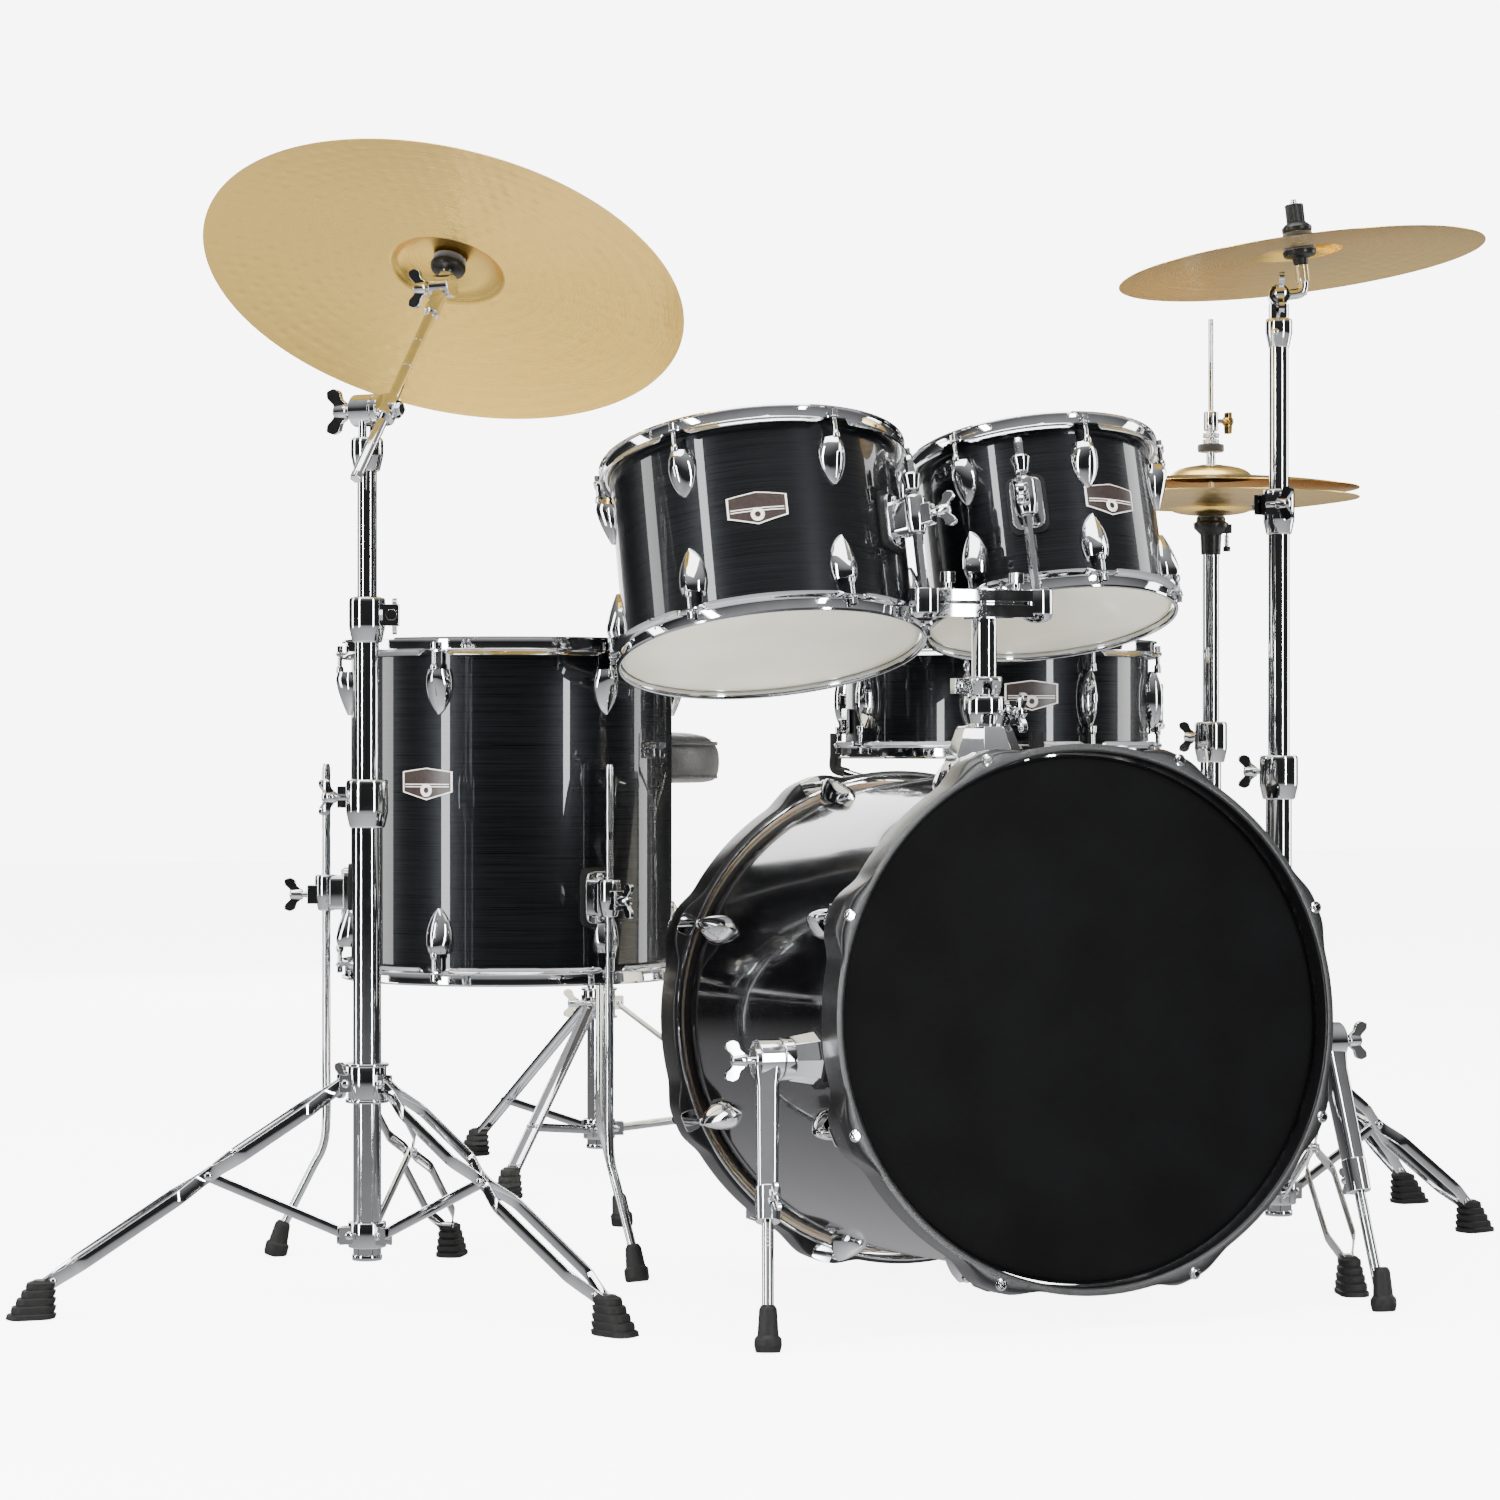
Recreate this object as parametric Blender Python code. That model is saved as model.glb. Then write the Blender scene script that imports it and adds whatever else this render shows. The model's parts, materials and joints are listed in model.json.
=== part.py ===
"""Acoustic drum kit: bass drum with two mounted toms, floor tom, snare drum, hi-hat, crash and ride
cymbals on their stands, a bass pedal and a throne.

Metres, +Z up. The bass drum's front head faces -Y and the player sits on the +Y side. The kit is laid out
from the point on the floor under the middle of the bass drum's front hoop, and the last step moves it all so
that the origin is the middle of the footprint, on the floor.
"""
import math

import bmesh
import bpy
from mathutils import Matrix, Vector

# ---------------------------------------------------------------- driving dimensions
INCH = 0.0254
GAP = 0.0003
UP = Vector((0, 0, 1))
ROUND_SIDES = 24
TUBE_SIDES = 12
ROD_SIDES = 6

SHELL_THICKNESS = 0.006
HEAD_THICKNESS = 0.0012
HOOP_INNER = 0.005          # beyond the shell's outer radius
HOOP_OUTER = 0.009
HOOP_OVER_HEAD = 0.0085
HOOP_UNDER_EDGE = 0.012
EAR_OUT = 0.0165            # how far an ear stands out, which is also its width
EAR_HEIGHT = (0.001, 0.006)
HEAD_IN_HOOP = 0.0006       # between the film's rim and the hoop
ROD_OFFSET = 0.0125         # tension rod's centre, beyond the shell's outer radius
ROD_RADIUS = 0.003
LUG_FROM_EDGE = 0.026
LUG_LENGTH = 0.050
LUG_OUT = 0.017
LUG_WIDTH = 0.020
ROOT = 0.003                # how deep a fitting is let into the wall it stands on

BASS_RADIUS = 10 * INCH
BASS_DEPTH = 18 * INCH
BASS_TILT = math.radians(3.6)
BASS_HOOP_INNER = 0.006
BASS_HOOP_OUTER = 0.014
BASS_HOOP_OVER_HEAD = 0.0205
BASS_HOOP_UNDER_EDGE = 0.020
BASS_LUG_FROM_EDGE = 0.062
BASS_LUG_OUT = 0.026
BASS_ROD_OFFSET = 0.0185
BASS_ROD_RADIUS = 0.0035
SPUR_PIVOT = Vector((0.290, 0.078, 0.262))
SPUR_TIPS = {"left": Vector((-0.352, -0.036, 0)), "right": Vector((0.312, -0.024, 0))}
SPUR_HUB = {"bracket": 0.026, "radius": 0.020, "from": 0.006, "length": 0.024}
SPUR_TUBE_SHARE = 0.55      # how much of a spur is its outer tube
BASS_LENGTH = BASS_DEPTH + 2 * BASS_HOOP_OVER_HEAD
BASS_REAR_HEIGHT = (BASS_RADIUS + BASS_HOOP_OUTER) * math.cos(BASS_TILT)

LEFT_TOM = {"radius": 6 * INCH, "depth": 8 * INCH, "centre": Vector((-0.195, 0.386, 0.764)), "arm_angle": -50}
RIGHT_TOM = {"radius": 5 * INCH, "depth": 7 * INCH, "centre": Vector((0.130, 0.386, 0.788)), "arm_angle": -121}
TOM_TILT = math.radians(15.5)
TOM_ARM_OFFSET = 0.030      # L-rod's centre, beyond the shell's outer radius
TOM_ROD_RADIUS = 0.0055
MOUNT_Y = 0.250
MOUNT_AT = Vector((0, MOUNT_Y, 0))
HOLDER_Z = 0.7135
HOLDER_RISE = (-0.017, 0.011)
BALL_RADIUS = 0.0115
SOCKET_RADIUS = 0.0165
SOCKET_BORE = 0.0128
POST_RADIUS = 0.0130
POST_BORE = 0.0142
POST_HOLE = 0.0175
RECEIVER_RADIUS = 0.021
RECEIVER_TOP = 0.078        # above the shell
SLEEVE_RADIUS = 0.013
SLEEVE_BORE = 0.0068

FLOOR_TOM = {"radius": 7 * INCH, "depth": 14 * INCH, "centre": Vector((-0.375, 0.690, 0.4945))}
LEG_ANGLES = {"left": 163, "front": 283, "rear": 43}
LEG_OFFSET = 0.0275
LEG_RADIUS = 0.0048
LEG_BORE = 0.0062
LEG_TOP = 0.545
LEG_FOOT_SPREAD = 0.060
LEG_BRACKET_Z = (-0.115, -0.070)

SNARE = {"radius": 7 * INCH, "depth": 0.120, "centre": Vector((0.2295, 0.715, 0.6185))}
SNARE_STAND = Vector((0.262, 0.750, 0))
SNARE_TILT_Z = 0.450
STRAINER_ANGLE = -12.5
LEVER_OFFSET = 0.0200
SNARE_NECK_Z = 0.425
BASKET_REACH = 0.209
BASKET_ANGLES = (32.5, 132.5, 257.5)

RIDE_STAND = Vector((-0.617, 0.406, 0))
RIDE_COLLARS = (0.526, 0.711)
RIDE_CLAMP_Z = 0.905
RIDE_CENTRE = Vector((-0.520, 0.463, 1.042))
RIDE_NORMAL = Vector((0.306, 0.350, 0.885)).normalized()
RIDE_RADIUS = 10 * INCH
RIDE_TUBES = (0.0120, 0.0100)
RIDE_MIDDLE_BORE = 0.0106
BOOM_OFFSET = 0.024
BOOM_TAIL = 0.095

CRASH_STAND = Vector((0.423, 0.387, 0))
CRASH_COLLAR_Z = 0.550
CRASH_PIVOT_Z = 1.066
CRASH_CENTRE = Vector((0.446, 0.378, 1.100))
CRASH_NORMAL = Vector((-0.087, 0.081, 0.993)).normalized()
CRASH_RADIUS = 8 * INCH
CRASH_TUBE_RADIUS = 0.0120
CRASH_CLAMP_Z = (0.800, 0.850)

HAT_STAND = Vector((0.518, 0.723, 0))
HAT_COLLAR_Z = 0.590
HAT_SEAT_Z = 0.842
HAT_MEET_Z = 0.870
HAT_OPENING = 0.0115
HAT_ROD_LOW = 0.670          # it starts inside the upper tube, clear of the lower one at every height
HAT_ROD_TOP = 1.081
HAT_RADIUS = 7 * INCH
HAT_BOARD_REACH = 0.300
HAT_BOARD_LENGTH = 0.262
HAT_TUBE_RADIUS = 0.0100
HAT_TUBE_BORE = 0.0055
HAT_ROD_RADIUS = 0.0034

THRONE = Vector((-0.040, 1.380, 0))
THRONE_SEAT_Z = 0.516
THRONE_SEAT_HEIGHT = 0.071
THRONE_SEAT_RADIUS = 0.160
THRONE_POST_RADIUS = 0.0130
THRONE_PLATE_RADIUS = 0.070

PEDAL_SHAFT = Vector((0, 0.575, 0.125))
PEDAL_POSTS = 0.044         # half the distance between the posts
PEDAL_HEEL = Vector((0, 0.845, 0.026))
PEDAL_TOE = Vector((0, 0.605, 0.082))
AXLE_RADIUS = 0.0050
AXLE_BORE = 0.0062
BEATER_REACH = 0.175
BEATER_REST = math.radians(38)

CYMBAL_THICKNESS = 0.0016
CYMBAL_HOLE = 0.0065
STEM_RADIUS = 0.0040

# Each stand: outer radius of the feet, first foot's direction, height of the leg collar and of the lower hub,
# the tube's radius, and how far down the leg its strut meets it.
TRIPODS = {
    "ride": {"at": RIDE_STAND, "spread": 0.345, "turn": 59, "collar": 0.222, "hub": 0.068, "radius": 0.0143,
             "elbow": 0.45},
    "crash": {"at": CRASH_STAND, "spread": 0.318, "turn": 14.5, "collar": 0.222, "hub": 0.068, "radius": 0.0143,
              "elbow": 0.45},
    "hat": {"at": HAT_STAND, "spread": 0.285, "turn": 1, "collar": 0.330, "hub": 0.105, "radius": 0.0125,
            "elbow": 0.45},
    "snare": {"at": SNARE_STAND, "spread": 0.165, "turn": 105, "collar": 0.200, "hub": 0.066, "radius": 0.0125,
              "elbow": 0.45},
    "throne": {"at": THRONE, "spread": 0.295, "turn": 108, "collar": 0.226, "hub": 0.060, "radius": 0.0160,
               "elbow": 0.72},
}

# ---------------------------------------------------------------- materials
FINISHES = {
    "black_wrap": ((0.015, 0.020, 0.024), 0.14, 0.2),
    "black_gloss": ((0.006, 0.006, 0.007), 0.08, 0.0),
    "black_hoop": ((0.012, 0.012, 0.013), 0.30, 0.0),
    "chrome": ((0.78, 0.79, 0.80), 0.10, 1.0),
    "black_head": ((0.030, 0.031, 0.033), 0.55, 0.0),
    "white_head": ((0.82, 0.81, 0.77), 0.45, 0.0),
    "brass": ((0.76, 0.66, 0.42), 0.25, 1.0),
    "leather": ((0.012, 0.012, 0.012), 0.45, 0.0),
}


def finish(name):
    """The Principled material of a finish, made once."""
    if name in bpy.data.materials:
        return bpy.data.materials[name]
    colour, roughness, metallic = FINISHES[name]
    made = bpy.data.materials.new(name)
    made.use_nodes = True
    shader = made.node_tree.nodes["Principled BSDF"]
    shader.inputs["Base Color"].default_value = (*colour, 1)
    shader.inputs["Roughness"].default_value = roughness
    shader.inputs["Metallic"].default_value = metallic
    return made


# ---------------------------------------------------------------- mesh pieces
def mesh_from(vertices, faces):
    """A closed mesh with its faces pointing out."""
    mesh = bpy.data.meshes.new("piece")
    mesh.from_pydata([tuple(v) for v in vertices], [], faces)
    work = bmesh.new()
    work.from_mesh(mesh)
    bmesh.ops.remove_doubles(work, verts=work.verts, dist=1e-6)
    bmesh.ops.recalc_face_normals(work, faces=work.faces)
    work.to_mesh(mesh)
    work.free()
    return mesh


def lofted(rings):
    """A solid through rings of points of the same count, capped at both ends."""
    count = len(rings[0])
    vertices = [point for ring in rings for point in ring]
    faces = [list(range(count)), list(range(len(vertices) - count, len(vertices)))]
    for level in range(len(rings) - 1):
        for k in range(count):
            low, low_next = level * count + k, level * count + (k + 1) % count
            faces.append([low, low_next, low_next + count, low + count])
    return mesh_from(vertices, faces)


def across(along):
    """Two unit vectors square to a direction; the first is level where it can be."""
    along = along.normalized()
    side = along.cross(UP)
    if side.length < 1e-4:
        side = Vector((1, 0, 0))
    side.normalize()
    return side, side.cross(along).normalized()


def ring_at(centre, along, radius, sides):
    side, rise = across(along)
    turns = [2 * math.pi * (k + 0.5) / sides for k in range(sides)]
    return [centre + radius * (math.cos(a) * side + math.sin(a) * rise) for a in turns]


def rod(start, end, radius, end_radius=None, sides=ROD_SIDES):
    """A round bar, or a cone where end_radius differs."""
    along = end - start
    last = radius if end_radius is None else end_radius
    return lofted([ring_at(start, along, radius, sides), ring_at(end, along, last, sides)])


def bent_rod(points, radius, sides=ROD_SIDES):
    """A round bar through points, mitred at each one."""
    side, _ = across(points[-1] - points[0])
    rings = []
    for k, point in enumerate(points):
        before = points[max(k - 1, 0)]
        after = points[min(k + 1, len(points) - 1)]
        along = (after - before).normalized()
        level = (side - side.dot(along) * along).normalized()
        rise = level.cross(along)
        turns = [2 * math.pi * (j + 0.5) / sides for j in range(sides)]
        rings.append([point + radius * (math.cos(a) * level + math.sin(a) * rise) for a in turns])
    return lofted(rings)


def flat_bar(start, end, width, thickness, end_width=None):
    """A flat bar, width level and thickness in the upright plane of its run."""
    side, rise = across(end - start)
    rings = []
    for point, wide in ((start, width), (end, width if end_width is None else end_width)):
        corners = ((-1, -1), (1, -1), (1, 1), (-1, 1))
        rings.append([point + sx * wide / 2 * side + sz * thickness / 2 * rise for sx, sz in corners])
    return lofted(rings)


def block(low, high):
    """A box between two corners."""
    centre = (Vector(low) + Vector(high)) / 2
    size = Vector(high) - Vector(low)
    mesh = bpy.data.meshes.new("piece")
    work = bmesh.new()
    bmesh.ops.create_cube(work, size=1, matrix=Matrix.Translation(centre) @ Matrix.Diagonal((*size, 1)))
    work.to_mesh(mesh)
    work.free()
    return mesh


def turned(outline, sides=ROUND_SIDES, place=Matrix()):
    """(radius, height) pairs turned about Z: a ring, or a disc where it starts and ends at 0."""
    closed = outline[0][0] > 0
    vertices = []
    for k in range(sides):
        a = 2 * math.pi * (k + 0.5) / sides
        vertices += [place @ Vector((r * math.cos(a), r * math.sin(a), z)) for r, z in outline]
    count = len(outline)
    faces = []
    for k in range(sides):
        here, there = k * count, (k + 1) % sides * count
        for j in range(count if closed else count - 1):
            following = (j + 1) % count
            corners = [here + j, here + following, there + following, there + j]
            if outline[j][0] == 0:
                corners = [here + j, here + following, there + following]
            if outline[following][0] == 0:
                corners = [here + j, here + following, there + j]
            faces.append(corners)
    if not closed:
        shared = {k * count: 0 for k in range(sides)}
        shared.update({k * count + count - 1: count - 1 for k in range(sides)})
        faces = [[shared.get(v, v) for v in face] for face in faces]
        mesh = mesh_from(vertices, faces)
        return without_loose_points(mesh)
    return mesh_from(vertices, faces)


def without_loose_points(mesh):
    work = bmesh.new()
    work.from_mesh(mesh)
    bmesh.ops.delete(work, geom=[v for v in work.verts if not v.link_faces], context="VERTS")
    work.to_mesh(mesh)
    work.free()
    return mesh


def place_along(origin, axis):
    """The placement that carries +Z onto an axis at a point."""
    side, rise = across(axis)
    axis = axis.normalized()
    turn = Matrix((side, axis.cross(side), axis)).transposed().to_4x4()
    return Matrix.Translation(origin) @ turn


# ---------------------------------------------------------------- nodes
def add_object(name, mesh, pivot):
    made = bpy.data.objects.new(name, mesh)
    bpy.context.collection.objects.link(made)
    mesh.transform(Matrix.Translation(-pivot))
    made.location = pivot
    made.parent = KIT
    return made


def cut(body, tool_mesh, operation):
    """Join a mesh onto a body, or cut it out."""
    tool = add_object(f"{body.name}.tool{len(body.modifiers)}", tool_mesh, body.location)
    tool.hide_render = True
    tool.display_type = "WIRE"
    change = body.modifiers.new(operation.lower(), "BOOLEAN")
    change.operation = operation
    change.object = tool


def node(name, finish_name, pieces, bores=(), pivot=Vector(), place=Matrix()):
    """One named body: its first piece with the others joined on and the bores cut out."""
    for piece in [*pieces, *bores]:
        piece.transform(place)
    body = add_object(name, pieces[0], pivot)
    body.data.materials.append(finish(finish_name))
    for piece in pieces[1:]:
        cut(body, piece, "UNION")
    for bore in bores:
        cut(body, bore, "DIFFERENCE")
    body.data.set_sharp_from_angle(angle=math.radians(35))
    return body


# ---------------------------------------------------------------- drums
def polar(radius, degrees, z=0.0):
    a = math.radians(degrees)
    return Vector((radius * math.cos(a), radius * math.sin(a), z))


def standing_block(radius_low, radius_high, width, z_low, z_high, degrees):
    """A box standing out from a drum's wall at an angle round it."""
    mesh = block((radius_low, -width / 2, z_low), (radius_high, width / 2, z_high))
    mesh.transform(Matrix.Rotation(math.radians(degrees), 4, "Z"))
    return mesh


def wall_ring(inner, outer, z_low, z_high):
    return turned([(inner, z_low), (outer, z_low), (outer, z_high), (inner, z_high)])


def drum_shell(name, finish_name, radius, depth, lug_angles, place, extras=()):
    """A shell with its lugs: each lug stands near an edge, under its tension rod."""
    half = depth / 2
    pieces = [wall_ring(radius - SHELL_THICKNESS, radius, -half, half)]
    for degrees in lug_angles:
        for end in (1, -1):
            near, far = end * (half - LUG_FROM_EDGE), end * (half - LUG_FROM_EDGE - LUG_LENGTH)
            pieces.append(standing_block(radius - ROOT, radius + LUG_OUT, LUG_WIDTH,
                                         min(near, far), max(near, far), degrees))
    node(name, finish_name, pieces + list(extras), place=place)


def eared_ring(radius, half, ear_angles):
    """A hoop's ring at a drum's top, with an ear at each tension rod."""
    low, high = half - HOOP_UNDER_EDGE, half + HOOP_OVER_HEAD
    pieces = [wall_ring(radius + HOOP_INNER, radius + HOOP_OUTER, low, high)]
    for degrees in ear_angles:
        pieces.append(standing_block(radius + HOOP_INNER + 0.001, radius + EAR_OUT, EAR_OUT,
                                     low + EAR_HEIGHT[0], low + EAR_HEIGHT[1], degrees))
    return pieces


def chrome_hoop(name, radius, depth, end, rod_angles, place):
    """A flanged hoop with its ears and tension rods, which reach down to the lugs."""
    half = depth / 2
    pieces = eared_ring(radius, half, rod_angles)
    for degrees in rod_angles:
        top = polar(radius + ROD_OFFSET, degrees, half - HOOP_UNDER_EDGE + sum(EAR_HEIGHT) / 2)
        bottom = polar(radius + ROD_OFFSET, degrees, half - LUG_FROM_EDGE + GAP)
        pieces.append(rod(top, bottom, ROD_RADIUS, sides=4))
    if end < 0:
        for piece in pieces:
            piece.transform(Matrix.Rotation(math.pi, 4, "X"))
    node(name, "chrome", pieces, place=place)


def head(name, finish_name, radius, depth, end, place):
    low = depth / 2 + GAP
    high = low + HEAD_THICKNESS
    reach = radius + HOOP_INNER - HEAD_IN_HOOP
    outline = [(0, end * low), (reach, end * low), (reach, end * high), (0, end * high)]
    node(name, finish_name, [turned(outline)], place=place)


def two_headed_drum(name, size, lug_angles, place, extras=(), top_finish="white_head"):
    radius, depth = size["radius"], size["depth"]
    drum_shell(f"{name}_shell", "black_wrap", radius, depth, lug_angles, place, extras)
    chrome_hoop(f"{name}_top_hoop", radius, depth, 1, lug_angles, place)
    chrome_hoop(f"{name}_bottom_hoop", radius, depth, -1, [-a for a in lug_angles], place)
    head(f"{name}_top_head", top_finish, radius, depth, 1, place)
    head(f"{name}_bottom_head", "white_head", radius, depth, -1, place)


def bass_place():
    half = BASS_LENGTH / 2
    centre = Vector((0, half * math.cos(BASS_TILT), BASS_REAR_HEIGHT + half * math.sin(BASS_TILT)))
    return Matrix.Translation(centre) @ Matrix.Rotation(math.pi / 2 - BASS_TILT, 4, "X")


def spur_points(side):
    """A spur's pivot on the shell and the tip of its foot on the floor."""
    pivot = Vector((side * SPUR_PIVOT.x, SPUR_PIVOT.y, SPUR_PIVOT.z))
    return pivot, SPUR_TIPS["left" if side < 0 else "right"]


def bass_drum():
    place = bass_place()
    half = BASS_DEPTH / 2
    lug_angles = [22.5 + 45 * k for k in range(8)]
    pieces = [wall_ring(BASS_RADIUS - SHELL_THICKNESS, BASS_RADIUS, -half, half)]
    for degrees in lug_angles:
        for end in (1, -1):
            near = end * (half - BASS_LUG_FROM_EDGE)
            far = near - end * LUG_LENGTH
            pieces.append(standing_block(BASS_RADIUS - ROOT, BASS_RADIUS + BASS_LUG_OUT, BASS_LUG_OUT,
                                         min(near, far), max(near, far), degrees))
    back = place.inverted()
    for side in (-1, 1):
        pivot, _ = spur_points(side)
        inner = Vector((side * (BASS_RADIUS - ROOT), pivot.y, pivot.z))
        bracket = rod(inner, pivot + Vector((side * SPUR_HUB["from"], 0, 0)), SPUR_HUB["bracket"], sides=8)
        bracket.transform(back)
        pieces.append(bracket)
    hole = rod(MOUNT_AT + UP * BASS_RADIUS * 1.8, MOUNT_AT + UP * BASS_RADIUS * 2.4, POST_HOLE,
               sides=TUBE_SIDES)
    hole.transform(back)
    node("bass_shell", "black_gloss", pieces, [hole], place=place)
    for name, end in (("front", 1), ("rear", -1)):
        low, high = end * (half - BASS_HOOP_UNDER_EDGE), end * (half + BASS_HOOP_OVER_HEAD)
        ring = wall_ring(BASS_RADIUS + BASS_HOOP_INNER, BASS_RADIUS + BASS_HOOP_OUTER,
                         min(low, high), max(low, high))
        parts = [ring]
        for degrees in lug_angles:
            claw_low, claw_high = end * (half - 0.026), end * (half + 0.014)
            parts.append(standing_block(BASS_RADIUS + 0.010, BASS_RADIUS + BASS_LUG_OUT, BASS_LUG_OUT,
                                        min(claw_low, claw_high), max(claw_low, claw_high), degrees))
            start = polar(BASS_RADIUS + BASS_ROD_OFFSET, degrees, end * (half - BASS_HOOP_UNDER_EDGE))
            stop = polar(BASS_RADIUS + BASS_ROD_OFFSET, degrees, end * (half - BASS_LUG_FROM_EDGE + GAP))
            parts.append(rod(start, stop, BASS_ROD_RADIUS, sides=4))
        node(f"bass_{name}_hoop", "black_hoop", parts, place=place)
    head("bass_front_head", "black_head", BASS_RADIUS, BASS_DEPTH, 1, place)
    head("bass_rear_head", "white_head", BASS_RADIUS, BASS_DEPTH, -1, place)
    for side, label in ((-1, "left"), (1, "right")):
        spur(f"spur_{label}", side)


def spur(name, side):
    """A folding leg: a hub on the bracket, an outer tube, an inner rod and a rubber tip."""
    pivot, tip = spur_points(side)
    hub_in = pivot + Vector((side * (SPUR_HUB["from"] + GAP), 0, 0))
    hub_out = hub_in + Vector((side * SPUR_HUB["length"], 0, 0))
    middle = (hub_in + hub_out) / 2
    run = tip - middle
    pieces = [
        rod(hub_in, hub_out, SPUR_HUB["radius"], sides=10),
        rod(middle, middle + run * SPUR_TUBE_SHARE, 0.0095, sides=8),
        rod(middle + run * (SPUR_TUBE_SHARE - 0.05), tip + UP * 0.012, 0.0055, sides=8),
        rod(tip + UP * 0.045, tip, 0.010, 0.013, sides=8),
    ]
    node(name, "chrome", pieces, pivot=pivot)


# ---------------------------------------------------------------- tom mount and toms
def tom_place(tom):
    return Matrix.Translation(tom["centre"]) @ Matrix.Rotation(-TOM_TILT, 4, "X")


def tom_arm(tom):
    """The L-rod's ends: its ball in the holder and its tip above the drum's bracket."""
    place = tom_place(tom)
    axis = place.to_3x3() @ UP
    beside = place @ polar(tom["radius"] + TOM_ARM_OFFSET, tom["arm_angle"])
    return beside - axis * ((beside.z - HOLDER_Z) / axis.z), beside + axis * 0.065


def tom_bracket(tom):
    """A block on the shell with the sleeve that the L-rod runs in."""
    out = tom["radius"] + TOM_ARM_OFFSET
    base = standing_block(tom["radius"] - ROOT, out - 0.004, 0.034, -0.030, 0.030, tom["arm_angle"])
    sleeve = rod(polar(out, tom["arm_angle"], -0.020), polar(out, tom["arm_angle"], 0.020),
                 SLEEVE_RADIUS, sides=8)
    return [base, sleeve]


def mounted_tom(name, tom):
    """A tom on its rod: the lugs straddle the bracket."""
    place = tom_place(tom)
    two_headed_drum(name, tom, [tom["arm_angle"] + 30 + 60 * k for k in range(6)], place, tom_bracket(tom))
    out = tom["radius"] + TOM_ARM_OFFSET
    bore = rod(polar(out, tom["arm_angle"], -0.04), polar(out, tom["arm_angle"], 0.04), SLEEVE_BORE, sides=8)
    bore.transform(place)
    cut(bpy.data.objects[f"{name}_shell"], bore, "DIFFERENCE")
    ball, tip = tom_arm(tom)
    ball_outline = [(0, -BALL_RADIUS), (BALL_RADIUS * 0.8, -BALL_RADIUS * 0.6),
                    (BALL_RADIUS * 0.8, BALL_RADIUS * 0.6), (0, BALL_RADIUS)]
    pieces = [rod(ball, tip, TOM_ROD_RADIUS, sides=8), turned(ball_outline, 8, Matrix.Translation(ball))]
    node(f"{name}_rod", "chrome", pieces, pivot=ball)


def tom_mount():
    """The dome and receiver on the shell, and the post with its holder block."""
    place = bass_place()
    shell_top = place @ Vector((0, BASS_RADIUS, BASS_LENGTH / 2 - MOUNT_Y))
    top = shell_top.z
    at = MOUNT_AT
    dome = [(0, top + 0.0040), (0.048, top + 0.0040), (0.046, top + 0.020),
            (0.030, top + 0.045), (0, top + 0.045)]
    collar = rod(at + UP * (top + 0.030), at + UP * (top + RECEIVER_TOP), RECEIVER_RADIUS, sides=TUBE_SIDES)
    lug = block((0.010, MOUNT_Y - 0.010, top + 0.050), (0.040, MOUNT_Y + 0.010, top + 0.070))
    bore = rod(at + UP * (top - 0.012), at + UP * (top + RECEIVER_TOP + 0.012), POST_BORE, sides=TUBE_SIDES)
    node("tom_mount_base", "chrome", [turned(dome, 16, Matrix.Translation(at)), collar, lug], [bore])

    left, right = tom_arm(LEFT_TOM)[0], tom_arm(RIGHT_TOM)[0]
    bar_y = (left.y + right.y) / 2
    pieces = [
        rod(at + UP * (top - 0.045), at + UP * (HOLDER_Z + 0.004), POST_RADIUS, sides=TUBE_SIDES),
        block((left.x, bar_y - 0.010, HOLDER_Z + HOLDER_RISE[0]),
              (right.x, bar_y + 0.013, HOLDER_Z + HOLDER_RISE[1])),
    ]
    bores = []
    for ball in (left, right):
        pieces.append(rod(ball - UP * 0.019, ball + UP * 0.012, SOCKET_RADIUS, sides=TUBE_SIDES))
        bores.append(rod(ball - UP * 0.0125, ball + UP * 0.030, SOCKET_BORE, sides=TUBE_SIDES))
    node("tom_post", "chrome", pieces, bores, pivot=at)


def toms():
    tom_mount()
    mounted_tom("left_tom", LEFT_TOM)
    mounted_tom("right_tom", RIGHT_TOM)


# ---------------------------------------------------------------- floor tom
def floor_tom():
    radius = FLOOR_TOM["radius"]
    out = radius + LEG_OFFSET
    extras = []
    for degrees in LEG_ANGLES.values():
        low, high = LEG_BRACKET_Z
        extras.append(standing_block(radius - ROOT, out - 0.003, 0.030, low, high, degrees))
        extras.append(rod(polar(out, degrees, low + 0.005), polar(out, degrees, high - 0.005), 0.011, sides=8))
    place = Matrix.Translation(FLOOR_TOM["centre"])
    two_headed_drum("floor_tom", FLOOR_TOM, [-13 + 60 * k for k in range(6)], place, extras)
    for label, degrees in LEG_ANGLES.items():
        low, high = LEG_BRACKET_Z
        bore = rod(polar(out, degrees, low - 0.015), polar(out, degrees, high + 0.020), LEG_BORE, sides=8)
        bore.transform(place)
        cut(bpy.data.objects["floor_tom_shell"], bore, "DIFFERENCE")
        floor_leg(f"floor_leg_{label}", degrees)


def floor_leg(name, degrees):
    """A knurled leg, upright beside the shell and bent outward to its rubber foot."""
    axis = FLOOR_TOM["centre"].copy()
    axis.z = 0
    out = FLOOR_TOM["radius"] + LEG_OFFSET
    foot = out + LEG_FOOT_SPREAD
    upright = [axis + polar(out, degrees, LEG_TOP), axis + polar(out, degrees, 0.135)]
    bend = [axis + polar(out + 0.012, degrees, 0.105), axis + polar(foot - 0.006, degrees, 0.012)]
    rubber = rod(axis + polar(foot - 0.004, degrees, 0.040), axis + polar(foot, degrees, 0),
                 0.009, 0.014, sides=8)
    node(name, "chrome", [bent_rod(upright + bend, LEG_RADIUS, sides=8), rubber], pivot=upright[0])


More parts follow.
